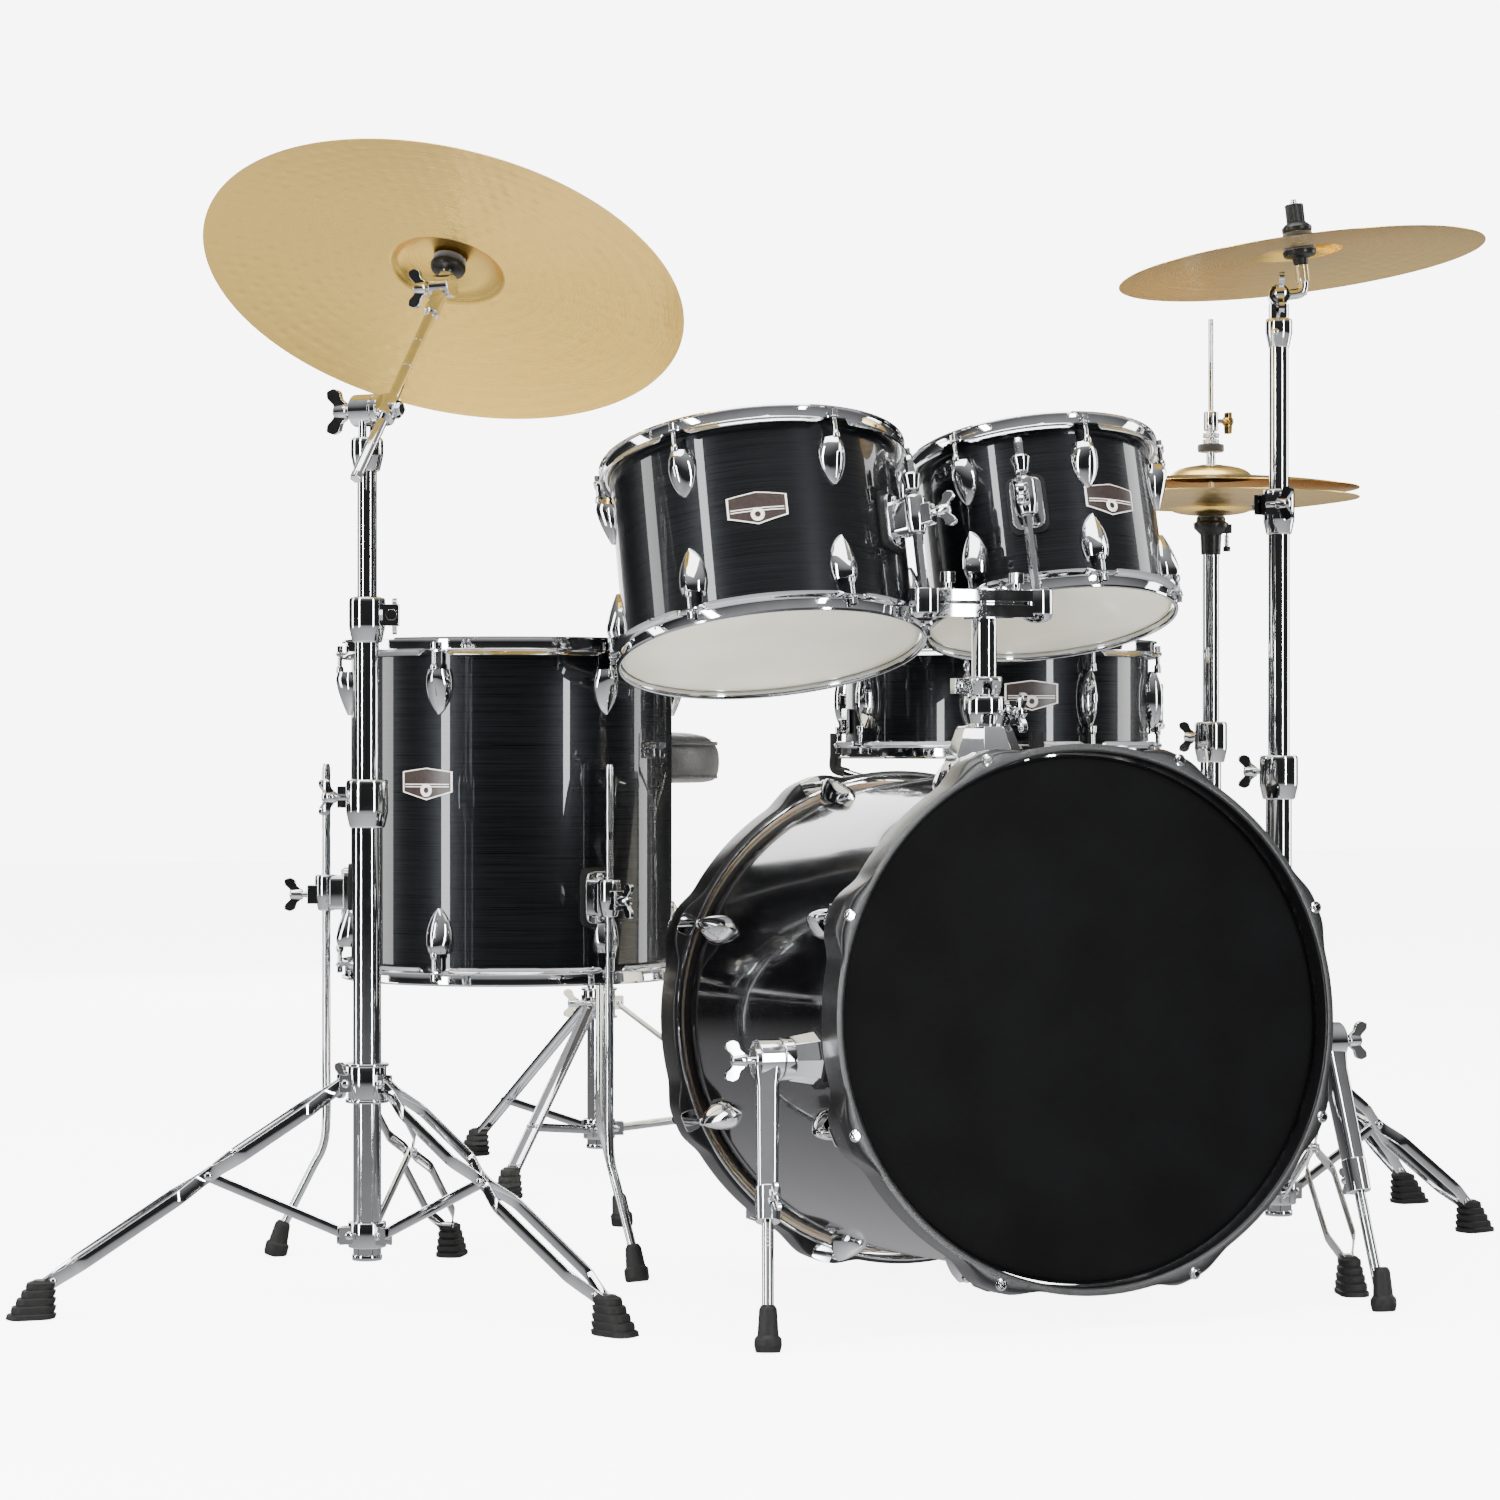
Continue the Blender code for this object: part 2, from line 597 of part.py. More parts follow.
# ---------------------------------------------------------------- snare drum
def snare_drum():
    radius = SNARE["radius"]
    half = SNARE["depth"] / 2
    lug_angles = [10 + 45 * k for k in range(8)]
    place = Matrix.Translation(SNARE["centre"])
    strainer = standing_block(radius - ROOT, radius + 0.016, 0.040, -0.040, 0.030, STRAINER_ANGLE)
    butt = standing_block(radius - ROOT, radius + 0.010, 0.034, -0.040, -0.010, STRAINER_ANGLE + 180)
    pieces = [wall_ring(radius - SHELL_THICKNESS, radius, -half, half), strainer, butt]
    for degrees in lug_angles:
        pieces.append(standing_block(radius - ROOT, radius + 0.018, 0.014,
                                     -half + 0.016, half - 0.016, degrees))
    node("snare_shell", "black_wrap", pieces, place=place)
    for label, end in (("top", 1), ("bottom", -1)):
        parts = eared_ring(radius, half, [end * degrees for degrees in lug_angles])
        if end < 0:
            for part in parts:
                part.transform(Matrix.Rotation(math.pi, 4, "X"))
        node(f"snare_{label}_hoop", "chrome", parts, place=place)
        head(f"snare_{label}_head", "white_head", radius, SNARE["depth"], end, place)
    lever_pivot = SNARE["centre"] + polar(radius + LEVER_OFFSET, STRAINER_ANGLE, -0.030)
    lever = standing_block(radius + LEVER_OFFSET - 0.0025, radius + LEVER_OFFSET + 0.0025, 0.022,
                           -0.032, 0.022, STRAINER_ANGLE)
    lever.transform(place)
    node("snare_strainer_lever", "chrome", [lever], pivot=lever_pivot)


def snare_stand():
    at = SNARE_STAND
    tripod("snare", 0.330)
    neck = Vector((at.x, at.y, SNARE_NECK_Z))
    hinge = Vector((SNARE["centre"].x, SNARE["centre"].y, SNARE_TILT_Z))
    offset = hinge - neck
    offset.z = 0
    pieces = [
        rod(Vector((at.x, at.y, 0.230)), neck, 0.0095, sides=TUBE_SIDES),
        flat_bar(neck - UP * 0.010, neck - UP * 0.010 + offset, 0.020, 0.016),
        rod(hinge - UP * 0.048, hinge - UP * 0.016, 0.011, 0.008, sides=8),
    ]
    node("snare_stand_tube", "chrome", pieces, pivot=neck)

    rim = SNARE["centre"].z - SNARE["depth"] / 2 - HOOP_OVER_HEAD
    floor = Vector((hinge.x, hinge.y, 0))
    parts = [rod(hinge - UP * 0.012, hinge + UP * 0.006, 0.006, 0.014, sides=8),
             rod(hinge, hinge + UP * 0.050, 0.015, sides=8)]
    for degrees in BASKET_ANGLES:
        elbow = floor + polar(BASKET_REACH, degrees, rim - 0.014)
        parts.append(flat_bar(floor + polar(0.008, degrees, hinge.z + 0.036), elbow, 0.016, 0.009))
        parts.append(flat_bar(elbow - UP * 0.006, elbow + UP * 0.044, 0.016, 0.010))
    node("snare_basket", "chrome", parts, pivot=hinge)


# ---------------------------------------------------------------- stands
COLLAR_WALL = 0.010         # how much thicker than its tube each ring of a tripod is
HUB_WALL = 0.008
CLAMP_WALL = 0.007
CLAMP_DEPTH = 0.045
TUBE_WALL = 0.0013
LEG_BAR = (0.018, 0.008)
STRUT_BAR = (0.012, 0.006)
FOOT = {"in": 0.030, "out": 0.020, "half_width": 0.014, "height": 0.038, "top_share": 0.55}
ANKLE_Z = 0.026


def tripod(label, tube_top):
    """A double-braced tripod base: tube, leg collar, lower hub, and three legs with struts and feet."""
    size = TRIPODS[label]
    at, spread, radius = size["at"], size["spread"], size["radius"]
    collar, hub = size["collar"], size["hub"]
    pieces = [
        rod(at + UP * (hub - 0.024), at + UP * tube_top, radius, sides=TUBE_SIDES),
        rod(at + UP * (collar - 0.020), at + UP * (collar + 0.022), radius + COLLAR_WALL, sides=TUBE_SIDES),
        rod(at + UP * (hub - 0.012), at + UP * (hub + 0.012), radius + HUB_WALL, sides=TUBE_SIDES),
        rod(at + UP * (tube_top - CLAMP_DEPTH), at + UP * (tube_top + 0.004), radius + CLAMP_WALL,
            sides=TUBE_SIDES),
        clamp_bolt(at, tube_top - 0.020, radius + 0.004, size["turn"] + 60),
    ]
    for k in range(3):
        degrees = size["turn"] + 120 * k
        root = at + polar(radius + 0.004, degrees, collar)
        ankle = at + polar(spread - 0.010, degrees, ANKLE_Z)
        elbow = root.lerp(ankle, size["elbow"])
        pieces.append(flat_bar(root, ankle, *LEG_BAR))
        pieces.append(flat_bar(at + polar(radius + 0.002, degrees, hub), elbow, *STRUT_BAR))
        pieces.append(foot_block(at, spread, degrees))
    bore_low = hub - 0.060 if label == "hat" else hub + 0.020
    bore = rod(at + UP * bore_low, at + UP * (tube_top + 0.020), radius - TUBE_WALL, sides=TUBE_SIDES)
    node(f"{label}_base", "chrome", pieces, [bore])


def foot_block(at, spread, degrees):
    """A rubber foot, flat underneath."""
    wide = FOOT["half_width"]
    mesh = block((spread - FOOT["in"], -wide, 0), (spread + FOOT["out"], wide, FOOT["height"]))
    middle = spread - wide
    for vertex in mesh.vertices:
        if vertex.co.z > FOOT["height"] / 2:
            vertex.co.x = middle + (vertex.co.x - middle) * FOOT["top_share"]
    mesh.transform(Matrix.Rotation(math.radians(degrees), 4, "Z"))
    mesh.transform(Matrix.Translation(at))
    return mesh


def clamp_bolt(at, z, reach, degrees):
    """The lug and wing bolt that close a tube's clamp."""
    return rod(at + polar(reach - 0.002, degrees, z), at + polar(reach + 0.030, degrees, z), 0.007,
               sides=ROD_SIDES)


def cymbal(name, radius, bow, bell_radius, bell_height, place, finish_name="brass", pivot=Vector()):
    """A bowed disc with a bell and a centre hole, its edge plane at z = 0."""
    thick = CYMBAL_THICKNESS
    steps = 2
    top = [(CYMBAL_HOLE, bow + bell_height), (bell_radius * 0.62, bow + bell_height * 0.72), (bell_radius, bow)]
    for k in range(1, steps + 1):
        share = k / steps
        reach = bell_radius + (radius - bell_radius) * share
        top.append((reach, bow * (1 - share ** 1.7)))
    under = [(r, z - thick) for r, z in reversed(top)]
    node(name, finish_name, [turned(top + under, ROUND_SIDES, place)], pivot=pivot)


def boom_side():
    """The level direction, square to the boom, in which the boom is set off from the stand's tube."""
    clamp = Vector((RIDE_STAND.x, RIDE_STAND.y, RIDE_CLAMP_Z))
    run = RIDE_CENTRE - clamp
    run.z = 0
    turn = math.acos(BOOM_OFFSET / run.length)
    return (Matrix.Rotation(-turn, 3, "Z") @ run.normalized()), clamp


def ride_stand():
    at = RIDE_STAND
    tripod("ride", RIDE_COLLARS[0])
    low, high = RIDE_COLLARS
    middle = [
        rod(at + UP * (low - 0.150), at + UP * high, RIDE_TUBES[0], sides=TUBE_SIDES),
        rod(at + UP * (high - 0.042), at + UP * (high + 0.004), 0.0185, sides=TUBE_SIDES),
        clamp_bolt(at, high - 0.020, 0.016, -20),
    ]
    bore = rod(at + UP * (low - 0.200), at + UP * (high + 0.020), RIDE_MIDDLE_BORE, sides=TUBE_SIDES)
    node("ride_middle_tube", "chrome", middle, [bore], pivot=at + UP * low)

    side, clamp = boom_side()
    upper = [
        rod(at + UP * (high - 0.150), at + UP * (RIDE_CLAMP_Z - 0.004), RIDE_TUBES[1], sides=TUBE_SIDES),
        rod(clamp - side * 0.016, clamp + side * 0.011, 0.017, sides=10),
        rod(clamp - side * 0.030, clamp - side * 0.012, 0.006, sides=ROD_SIDES),
    ]
    node("ride_upper_tube", "chrome", upper, pivot=at + UP * high)

    pivot = clamp + side * BOOM_OFFSET
    run = (RIDE_CENTRE - pivot).normalized()
    top = RIDE_CENTRE - run * 0.014
    boom = [
        rod(pivot - run * BOOM_TAIL, top, 0.0060, sides=8),
        rod(clamp + side * (0.011 + GAP), clamp + side * 0.036, 0.016, sides=10),
    ]
    node("ride_boom", "chrome", boom, pivot=pivot)
    stem = RIDE_CENTRE + RIDE_NORMAL * 0.082
    tilter = [
        rod(RIDE_CENTRE - side * 0.012, RIDE_CENTRE + side * 0.012, 0.0125, sides=10),
        rod(RIDE_CENTRE, stem, STEM_RADIUS, sides=8),
        rod(RIDE_CENTRE + RIDE_NORMAL * 0.008, RIDE_CENTRE + RIDE_NORMAL * 0.030, 0.011, sides=8),
        rod(stem - RIDE_NORMAL * 0.040, stem - RIDE_NORMAL * 0.006, 0.010, sides=8),
    ]
    node("ride_tilter", "chrome", tilter, pivot=RIDE_CENTRE)
    cymbal("ride_cymbal", RIDE_RADIUS, 0.020, 0.058, 0.018, place_along(RIDE_CENTRE, RIDE_NORMAL),
           pivot=RIDE_CENTRE)


def crash_stand():
    at = CRASH_STAND
    tripod("crash", CRASH_COLLAR_Z)
    pivot = at + UP * CRASH_PIVOT_Z
    outward = CRASH_CENTRE - CRASH_NORMAL * (CRASH_CENTRE.z - CRASH_PIVOT_Z) - pivot
    axis = outward.cross(UP).normalized()
    tube = [
        rod(at + UP * (CRASH_COLLAR_Z - 0.150), pivot - UP * 0.016, CRASH_TUBE_RADIUS, sides=TUBE_SIDES),
        rod(at + UP * CRASH_CLAMP_Z[0], at + UP * CRASH_CLAMP_Z[1], 0.0165, sides=TUBE_SIDES),
        clamp_bolt(at, sum(CRASH_CLAMP_Z) / 2, 0.014, 200),
        block(pivot + Vector((-0.004, -0.010, -0.030)), pivot + Vector((0.004, 0.010, -0.013))),
    ]
    node("crash_tube", "chrome", tube, pivot=at + UP * CRASH_COLLAR_Z)
    elbow = pivot + outward
    stem = CRASH_CENTRE + CRASH_NORMAL * 0.074
    tilter = [
        rod(pivot - axis * 0.011, pivot + axis * 0.011, 0.0120, sides=10),
        bent_rod([pivot, elbow, elbow + CRASH_NORMAL * 0.012, stem], STEM_RADIUS, sides=8),
        rod(CRASH_CENTRE - CRASH_NORMAL * 0.012, CRASH_CENTRE + CRASH_NORMAL * 0.018, 0.011, sides=8),
        rod(stem - CRASH_NORMAL * 0.030, stem - CRASH_NORMAL * 0.006, 0.010, sides=8),
    ]
    node("crash_tilter", "chrome", tilter, pivot=pivot)
    cymbal("crash_cymbal", CRASH_RADIUS, 0.014, 0.047, 0.014, place_along(CRASH_CENTRE, CRASH_NORMAL),
           pivot=CRASH_CENTRE)


# ---------------------------------------------------------------- hi-hat
def hi_hat():
    at = HAT_STAND
    tripod("hat", HAT_COLLAR_Z)
    upper = [
        rod(at + UP * (HAT_COLLAR_Z - 0.130), at + UP * (HAT_SEAT_Z - 0.030), HAT_TUBE_RADIUS,
            sides=TUBE_SIDES),
        rod(at + UP * (HAT_SEAT_Z - 0.034), at + UP * HAT_SEAT_Z, 0.016, 0.021, sides=TUBE_SIDES),
        rod(at + Vector((0.012, -0.003, HAT_SEAT_Z - 0.024)), at + Vector((0.030, -0.008, HAT_SEAT_Z - 0.020)),
            0.006, sides=ROD_SIDES),
    ]
    bore = rod(at + UP * (HAT_COLLAR_Z - 0.160), at + UP * (HAT_SEAT_Z + 0.020), HAT_TUBE_BORE, sides=8)
    node("hat_upper_tube", "chrome", upper, [bore], pivot=at + UP * HAT_COLLAR_Z)

    top_plane = HAT_MEET_Z + HAT_OPENING / 2
    clutch = top_plane + 0.036
    pull_rod = [
        rod(at + UP * HAT_ROD_LOW, at + UP * HAT_ROD_TOP, HAT_ROD_RADIUS, sides=8),
        rod(at + UP * (top_plane + 0.0300), at + UP * (clutch + 0.060), 0.0095, sides=8),
        rod(at + Vector((0.004, 0, clutch + 0.046)), at + Vector((0.028, 0, clutch + 0.046)), 0.005,
            sides=ROD_SIDES),
    ]
    node("hat_rod", "chrome", pull_rod, pivot=at)
    bottom_plane = HAT_MEET_Z - HAT_OPENING / 2
    cymbal("hat_top_cymbal", HAT_RADIUS, 0.012, 0.050, 0.016, Matrix.Translation(at + UP * top_plane),
           pivot=at)
    flipped = Matrix.Translation(at + UP * bottom_plane) @ Matrix.Rotation(math.pi, 4, "X")
    cymbal("hat_bottom_cymbal", HAT_RADIUS, 0.012, 0.050, 0.0085, flipped, pivot=at)

    heel = at + Vector((0, HAT_BOARD_REACH, 0.016))
    toe = at + Vector((0, HAT_BOARD_REACH - HAT_BOARD_LENGTH, 0.056))
    board = [flat_bar(heel, toe, 0.086, 0.007, 0.066),
             rod(heel - Vector((0.046, 0, 0)), heel + Vector((0.046, 0, 0)), 0.0065, sides=8)]
    node("hat_footboard", "chrome", board, pivot=heel)


# ---------------------------------------------------------------- throne
def throne():
    at = THRONE
    tripod("throne", 0.400)
    plate = THRONE_SEAT_Z - GAP
    post = [
        rod(at + UP * 0.250, at + UP * (plate - 0.004), THRONE_POST_RADIUS, sides=TUBE_SIDES),
        rod(at + UP * (plate - 0.006), at + UP * plate, THRONE_PLATE_RADIUS, sides=16),
        rod(at + UP * (plate - 0.045), at + UP * (plate - 0.003), 0.020, sides=TUBE_SIDES),
    ]
    node("throne_post", "chrome", post, pivot=at + UP * 0.400)
    top = THRONE_SEAT_Z + THRONE_SEAT_HEIGHT
    r = THRONE_SEAT_RADIUS
    outline = [(0, THRONE_SEAT_Z), (r - 0.006, THRONE_SEAT_Z), (r, THRONE_SEAT_Z + 0.012), (r, top - 0.020),
               (r - 0.018, top - 0.003), (0, top)]
    node("throne_seat", "leather", [turned(outline, ROUND_SIDES, Matrix.Translation(at))],
         pivot=at + UP * THRONE_SEAT_Z)


# ---------------------------------------------------------------- bass pedal
def bass_pedal():
    shaft = PEDAL_SHAFT
    posts = PEDAL_POSTS
    frame = [
        block((-0.030, 0.545, 0.002), (0.030, 0.850, 0.008)),
        block((-posts - 0.010, shaft.y - 0.020, 0.0), (posts + 0.010, shaft.y + 0.020, 0.014)),
        block((-0.024, 0.840, 0.0), (0.024, 0.880, 0.018)),
    ]
    for side in (-1, 1):
        frame.append(block((side * posts - 0.006, shaft.y - 0.009, 0.006),
                           (side * posts + 0.006, shaft.y + 0.009, shaft.z + 0.012)))
    outward = Vector((1, 0, 0))
    axle = rod(shaft - outward * (posts + 0.012), shaft + outward * (posts + 0.012), AXLE_BORE, sides=8)
    node("pedal_frame", "chrome", frame, [axle])

    lean = Vector((0, math.sin(BEATER_REST), math.cos(BEATER_REST)))
    tip = shaft + lean * BEATER_REACH
    facing = Vector((0, -math.cos(BEATER_REST), math.sin(BEATER_REST)))
    beater = [
        rod(shaft - outward * (posts + 0.010), shaft + outward * (posts + 0.010), AXLE_RADIUS, sides=8),
        rod(shaft - lean * 0.014, tip, 0.0040, sides=8),
        rod(shaft - Vector((0.012, 0, 0)), shaft + Vector((0.012, 0, 0)), 0.018, sides=10),
        rod(tip + facing * 0.026, tip - facing * 0.026, 0.025, 0.022, sides=TUBE_SIDES),
    ]
    node("pedal_beater", "chrome", beater, pivot=shaft)

    board = [flat_bar(PEDAL_HEEL, PEDAL_TOE, 0.062, 0.007, 0.080),
             rod(PEDAL_HEEL - Vector((0.034, 0, 0)), PEDAL_HEEL + Vector((0.034, 0, 0)), 0.0065, sides=8)]
    node("pedal_footboard", "chrome", board, pivot=PEDAL_HEEL)


# ---------------------------------------------------------------- the whole kit
def footprint_centre():
    """The middle of the kit's plan, from its solids."""
    bpy.context.view_layer.update()
    graph = bpy.context.evaluated_depsgraph_get()
    points = []
    for item in KIT.children:
        if not item.hide_render:
            solid = item.evaluated_get(graph)
            points += [item.matrix_world @ vertex.co for vertex in solid.to_mesh().vertices]
            solid.to_mesh_clear()
    middle = [(min(p[k] for p in points) + max(p[k] for p in points)) / 2 for k in range(2)]
    return Vector((*middle, 0))


for leftover in list(bpy.data.objects):
    bpy.data.objects.remove(leftover, do_unlink=True)

KIT = bpy.data.objects.new("kit", None)
bpy.context.collection.objects.link(KIT)
bass_drum()
toms()
floor_tom()
snare_drum()
snare_stand()
hi_hat()
crash_stand()
ride_stand()
throne()
bass_pedal()
KIT.location = -footprint_centre()
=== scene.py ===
"""The looks of an acoustic drum kit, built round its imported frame.

Metres, +Z up. The bass drum's front head faces -Y and the player sits on the +Y side. A drum's or a cymbal's
own axis is +Z of its piece.
"""
import json
import math

import bmesh
import bpy
import numpy as np
from mathutils import Matrix, Vector


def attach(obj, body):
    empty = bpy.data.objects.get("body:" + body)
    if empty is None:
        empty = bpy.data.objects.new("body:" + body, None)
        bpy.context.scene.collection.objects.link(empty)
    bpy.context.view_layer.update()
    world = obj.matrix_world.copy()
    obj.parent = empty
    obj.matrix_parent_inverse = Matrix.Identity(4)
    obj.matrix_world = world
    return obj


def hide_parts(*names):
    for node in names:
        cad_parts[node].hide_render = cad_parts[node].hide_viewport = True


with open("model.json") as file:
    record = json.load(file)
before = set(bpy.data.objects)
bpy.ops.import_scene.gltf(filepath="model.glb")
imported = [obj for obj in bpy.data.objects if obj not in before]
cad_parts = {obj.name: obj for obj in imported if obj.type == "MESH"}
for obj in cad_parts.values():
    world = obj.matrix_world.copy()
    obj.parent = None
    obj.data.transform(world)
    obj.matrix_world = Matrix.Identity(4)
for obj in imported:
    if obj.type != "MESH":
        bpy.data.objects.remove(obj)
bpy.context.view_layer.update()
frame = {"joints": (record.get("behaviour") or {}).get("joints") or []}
JOINTS = {joint["name"]: joint for joint in frame["joints"]}

# ---------------------------------------------------------------- layout, the same as the CAD's
INCH = 0.0254
UP = Vector((0, 0, 1))
PEDAL_SHAFT = Vector((0, 0.575, 0.125))
SHIFT = Vector(JOINTS["pedal_beater_swing"]["pos_m"]) - PEDAL_SHAFT
KIT = Matrix.Translation(SHIFT)

SHELL_THICKNESS = 0.006
HOOP_OVER_HEAD = 0.0085
HOOP_UNDER_EDGE = 0.012
ROD_OFFSET = 0.0125
LUG_FROM_EDGE = 0.026
TOM_LUG = (0.031, 0.049, 0.0168)        # width, length, height
BASS_LUG = (0.031, 0.056, 0.024)
BASS_LUG_FROM_EDGE = 0.062
BASS_ROD_OFFSET = 0.0185

BASS = {"radius": 10 * INCH, "depth": 18 * INCH}
BASS_TILT = math.radians(3.6)
BASS_HOOP_OUTER = 0.014
BASS_HOOP_OVER_HEAD = 0.0205
BASS_LENGTH = BASS["depth"] + 2 * BASS_HOOP_OVER_HEAD
BASS_REAR_HEIGHT = (BASS["radius"] + BASS_HOOP_OUTER) * math.cos(BASS_TILT)
SPUR_TIPS = {"left": Vector((-0.352, -0.036, 0)), "right": Vector((0.312, -0.024, 0))}

LEFT_TOM = {"radius": 6 * INCH, "depth": 8 * INCH, "centre": Vector((-0.195, 0.386, 0.764)),
            "arm_angle": -50}
RIGHT_TOM = {"radius": 5 * INCH, "depth": 7 * INCH, "centre": Vector((0.130, 0.386, 0.788)),
             "arm_angle": -121}
TOM_TILT = math.radians(15.5)
TOM_ARM_OFFSET = 0.030
MOUNT_AT = Vector((0, 0.250, 0))
POST_RADIUS = 0.0130
L_ROD_RADIUS = 0.0055
HOLDER_Z = 0.7135

FLOOR_TOM = {"radius": 7 * INCH, "depth": 14 * INCH, "centre": Vector((-0.375, 0.690, 0.4945))}
LEG_ANGLES = {"left": 163, "front": 283, "rear": 43}
LEG_OFFSET = 0.0275
LEG_FOOT_SPREAD = 0.060
LEG_RADIUS = 0.0048

SNARE = {"radius": 7 * INCH, "depth": 0.120, "centre": Vector((0.2295, 0.715, 0.6185))}
SNARE_STAND = Vector((0.262, 0.750, 0))
SNARE_TILT_Z = 0.450
SNARE_ROD_LOW = 0.036
SNARE_NECK_Z = 0.425
BASKET_REACH = 0.209
STRAINER_ANGLE = -12.5
BASKET_ANGLES = (32.5, 132.5, 257.5)

RIDE_STAND = Vector((-0.617, 0.406, 0))
RIDE_COLLARS = (0.526, 0.711)
RIDE_TUBES = (0.0120, 0.0100)
BOOM_RADIUS = 0.0058
STEM_RADIUS = 0.0034
RIDE_CENTRE = Vector((-0.520, 0.463, 1.042))
RIDE_NORMAL = Vector((0.306, 0.350, 0.885)).normalized()
BOOM_TAIL = 0.095
CRASH_STAND = Vector((0.423, 0.387, 0))
CRASH_COLLAR_Z = 0.550
CRASH_CLAMP_Z = (0.800, 0.850)
CRASH_TUBE_RADIUS = 0.0120
CRASH_CENTRE = Vector((0.446, 0.378, 1.100))
CRASH_NORMAL = Vector((-0.087, 0.081, 0.993)).normalized()
HAT_STAND = Vector((0.518, 0.723, 0))
HAT_COLLAR_Z = 0.590
HAT_SEAT_Z = 0.842
HAT_MEET_Z = 0.870
HAT_OPENING = 0.0115
HAT_ROD_TOP = 1.081
HAT_ROD_LOW = 0.200         # inside the lower tube
HAT_ROD_RADIUS = 0.0032
HAT_TUBE_RADIUS = 0.0100
THRONE = Vector((-0.040, 1.380, 0))
THRONE_SEAT_Z = 0.516
THRONE_SEAT_HEIGHT = 0.071
THRONE_SEAT_RADIUS = 0.160
THRONE_POST_RADIUS = 0.0130
PEDAL_POSTS = 0.044         # half the distance between the posts
BEATER_REACH = 0.175
BEATER_REST = math.radians(38)

ELBOW, THRONE_ELBOW = 0.45, 0.72        # where each leg's strut meets it
TRIPODS = {
    "ride": {"at": RIDE_STAND, "spread": 0.345, "turn": 59, "collar": 0.222, "hub": 0.068, "radius": 0.0143},
    "crash": {"at": CRASH_STAND, "spread": 0.318, "turn": 14.5, "collar": 0.222, "hub": 0.068,
              "radius": 0.0143},
    "hat": {"at": HAT_STAND, "spread": 0.285, "turn": 1, "collar": 0.330, "hub": 0.105, "radius": 0.0125},
    "snare": {"at": SNARE_STAND, "spread": 0.165, "turn": 105, "collar": 0.200, "hub": 0.066,
              "radius": 0.0125},
    "throne": {"at": THRONE, "spread": 0.295, "turn": 108, "collar": 0.226, "hub": 0.060, "radius": 0.0160},
}

BACKGROUND_GLOW, FLOOR_GLOW = 7.5, 6.5
FLOOR_REACH = 14.0


def pivot_of(joint):
    return Vector(JOINTS[joint]["pos_m"]) - SHIFT


# ---------------------------------------------------------------- materials
def new_material(name, colour, roughness, metallic=0.0, **sockets):
    """A Principled material; sockets are further inputs, with _ for a space."""
    made = bpy.data.materials.new(name)
    made.use_nodes = True
    shader = made.node_tree.nodes["Principled BSDF"]
    shader.inputs["Base Color"].default_value = (*colour, 1)
    shader.inputs["Roughness"].default_value = roughness
    shader.inputs["Metallic"].default_value = metallic
    for socket, value in sockets.items():
        shader.inputs[socket.replace("_", " ").title().replace("Ior", "IOR")].default_value = value
    return made


def noise(made, stretch, detail=2.0):
    """A noise texture in the piece's own frame; stretch is its cells per metre on each axis."""
    tree = made.node_tree
    where = tree.nodes.new("ShaderNodeTexCoord")
    scaled = tree.nodes.new("ShaderNodeMapping")
    scaled.inputs["Scale"].default_value = stretch
    texture = tree.nodes.new("ShaderNodeTexNoise")
    texture.inputs["Scale"].default_value = 1.0
    texture.inputs["Detail"].default_value = detail
    tree.links.new(where.outputs["Object"], scaled.inputs["Vector"])
    tree.links.new(scaled.outputs["Vector"], texture.inputs["Vector"])
    return texture.outputs["Fac"]


def rings(made, per_metre):
    """Fine circles round the piece's Z axis."""
    tree = made.node_tree
    where = tree.nodes.new("ShaderNodeTexCoord")
    flat = tree.nodes.new("ShaderNodeVectorMath")
    flat.operation = "MULTIPLY"
    flat.inputs[1].default_value = (per_metre, per_metre, 0)
    reach = tree.nodes.new("ShaderNodeVectorMath")
    reach.operation = "LENGTH"
    texture = tree.nodes.new("ShaderNodeTexNoise")
    texture.noise_dimensions = "1D"
    texture.inputs["Scale"].default_value = 1.0
    texture.inputs["Detail"].default_value = 3.0
    tree.links.new(where.outputs["Object"], flat.inputs[0])
    tree.links.new(flat.outputs["Vector"], reach.inputs[0])
    tree.links.new(reach.outputs["Value"], texture.inputs["W"])
    return texture.outputs["Fac"]


def cells(made, per_metre):
    """A leather or cast grain of small cells."""
    tree = made.node_tree
    where = tree.nodes.new("ShaderNodeTexCoord")
    texture = tree.nodes.new("ShaderNodeTexVoronoi")
    texture.feature = "F1"
    texture.inputs["Scale"].default_value = per_metre
    tree.links.new(where.outputs["Object"], texture.inputs["Vector"])
    return texture.outputs["Distance"]


def vary(made, source, socket, low, high):
    """Drives a number socket by a texture, from low to high over the texture's middle range."""
    tree = made.node_tree
    span = tree.nodes.new("ShaderNodeMapRange")
    span.inputs["From Min"].default_value = 0.30
    span.inputs["From Max"].default_value = 0.70
    span.inputs["To Min"].default_value = low
    span.inputs["To Max"].default_value = high
    tree.links.new(source, span.inputs["Value"])
    tree.links.new(span.outputs["Result"], tree.nodes["Principled BSDF"].inputs[socket])


def tint(made, source, dark, light):
    """Mixes the base colour between two colours by a texture."""
    tree = made.node_tree
    ramp = tree.nodes.new("ShaderNodeValToRGB")
    ramp.color_ramp.elements[0].position = 0.32
    ramp.color_ramp.elements[0].color = (*dark, 1)
    ramp.color_ramp.elements[1].position = 0.68
    ramp.color_ramp.elements[1].color = (*light, 1)
    tree.links.new(source, ramp.inputs["Fac"])
    tree.links.new(ramp.outputs["Color"], tree.nodes["Principled BSDF"].inputs["Base Color"])


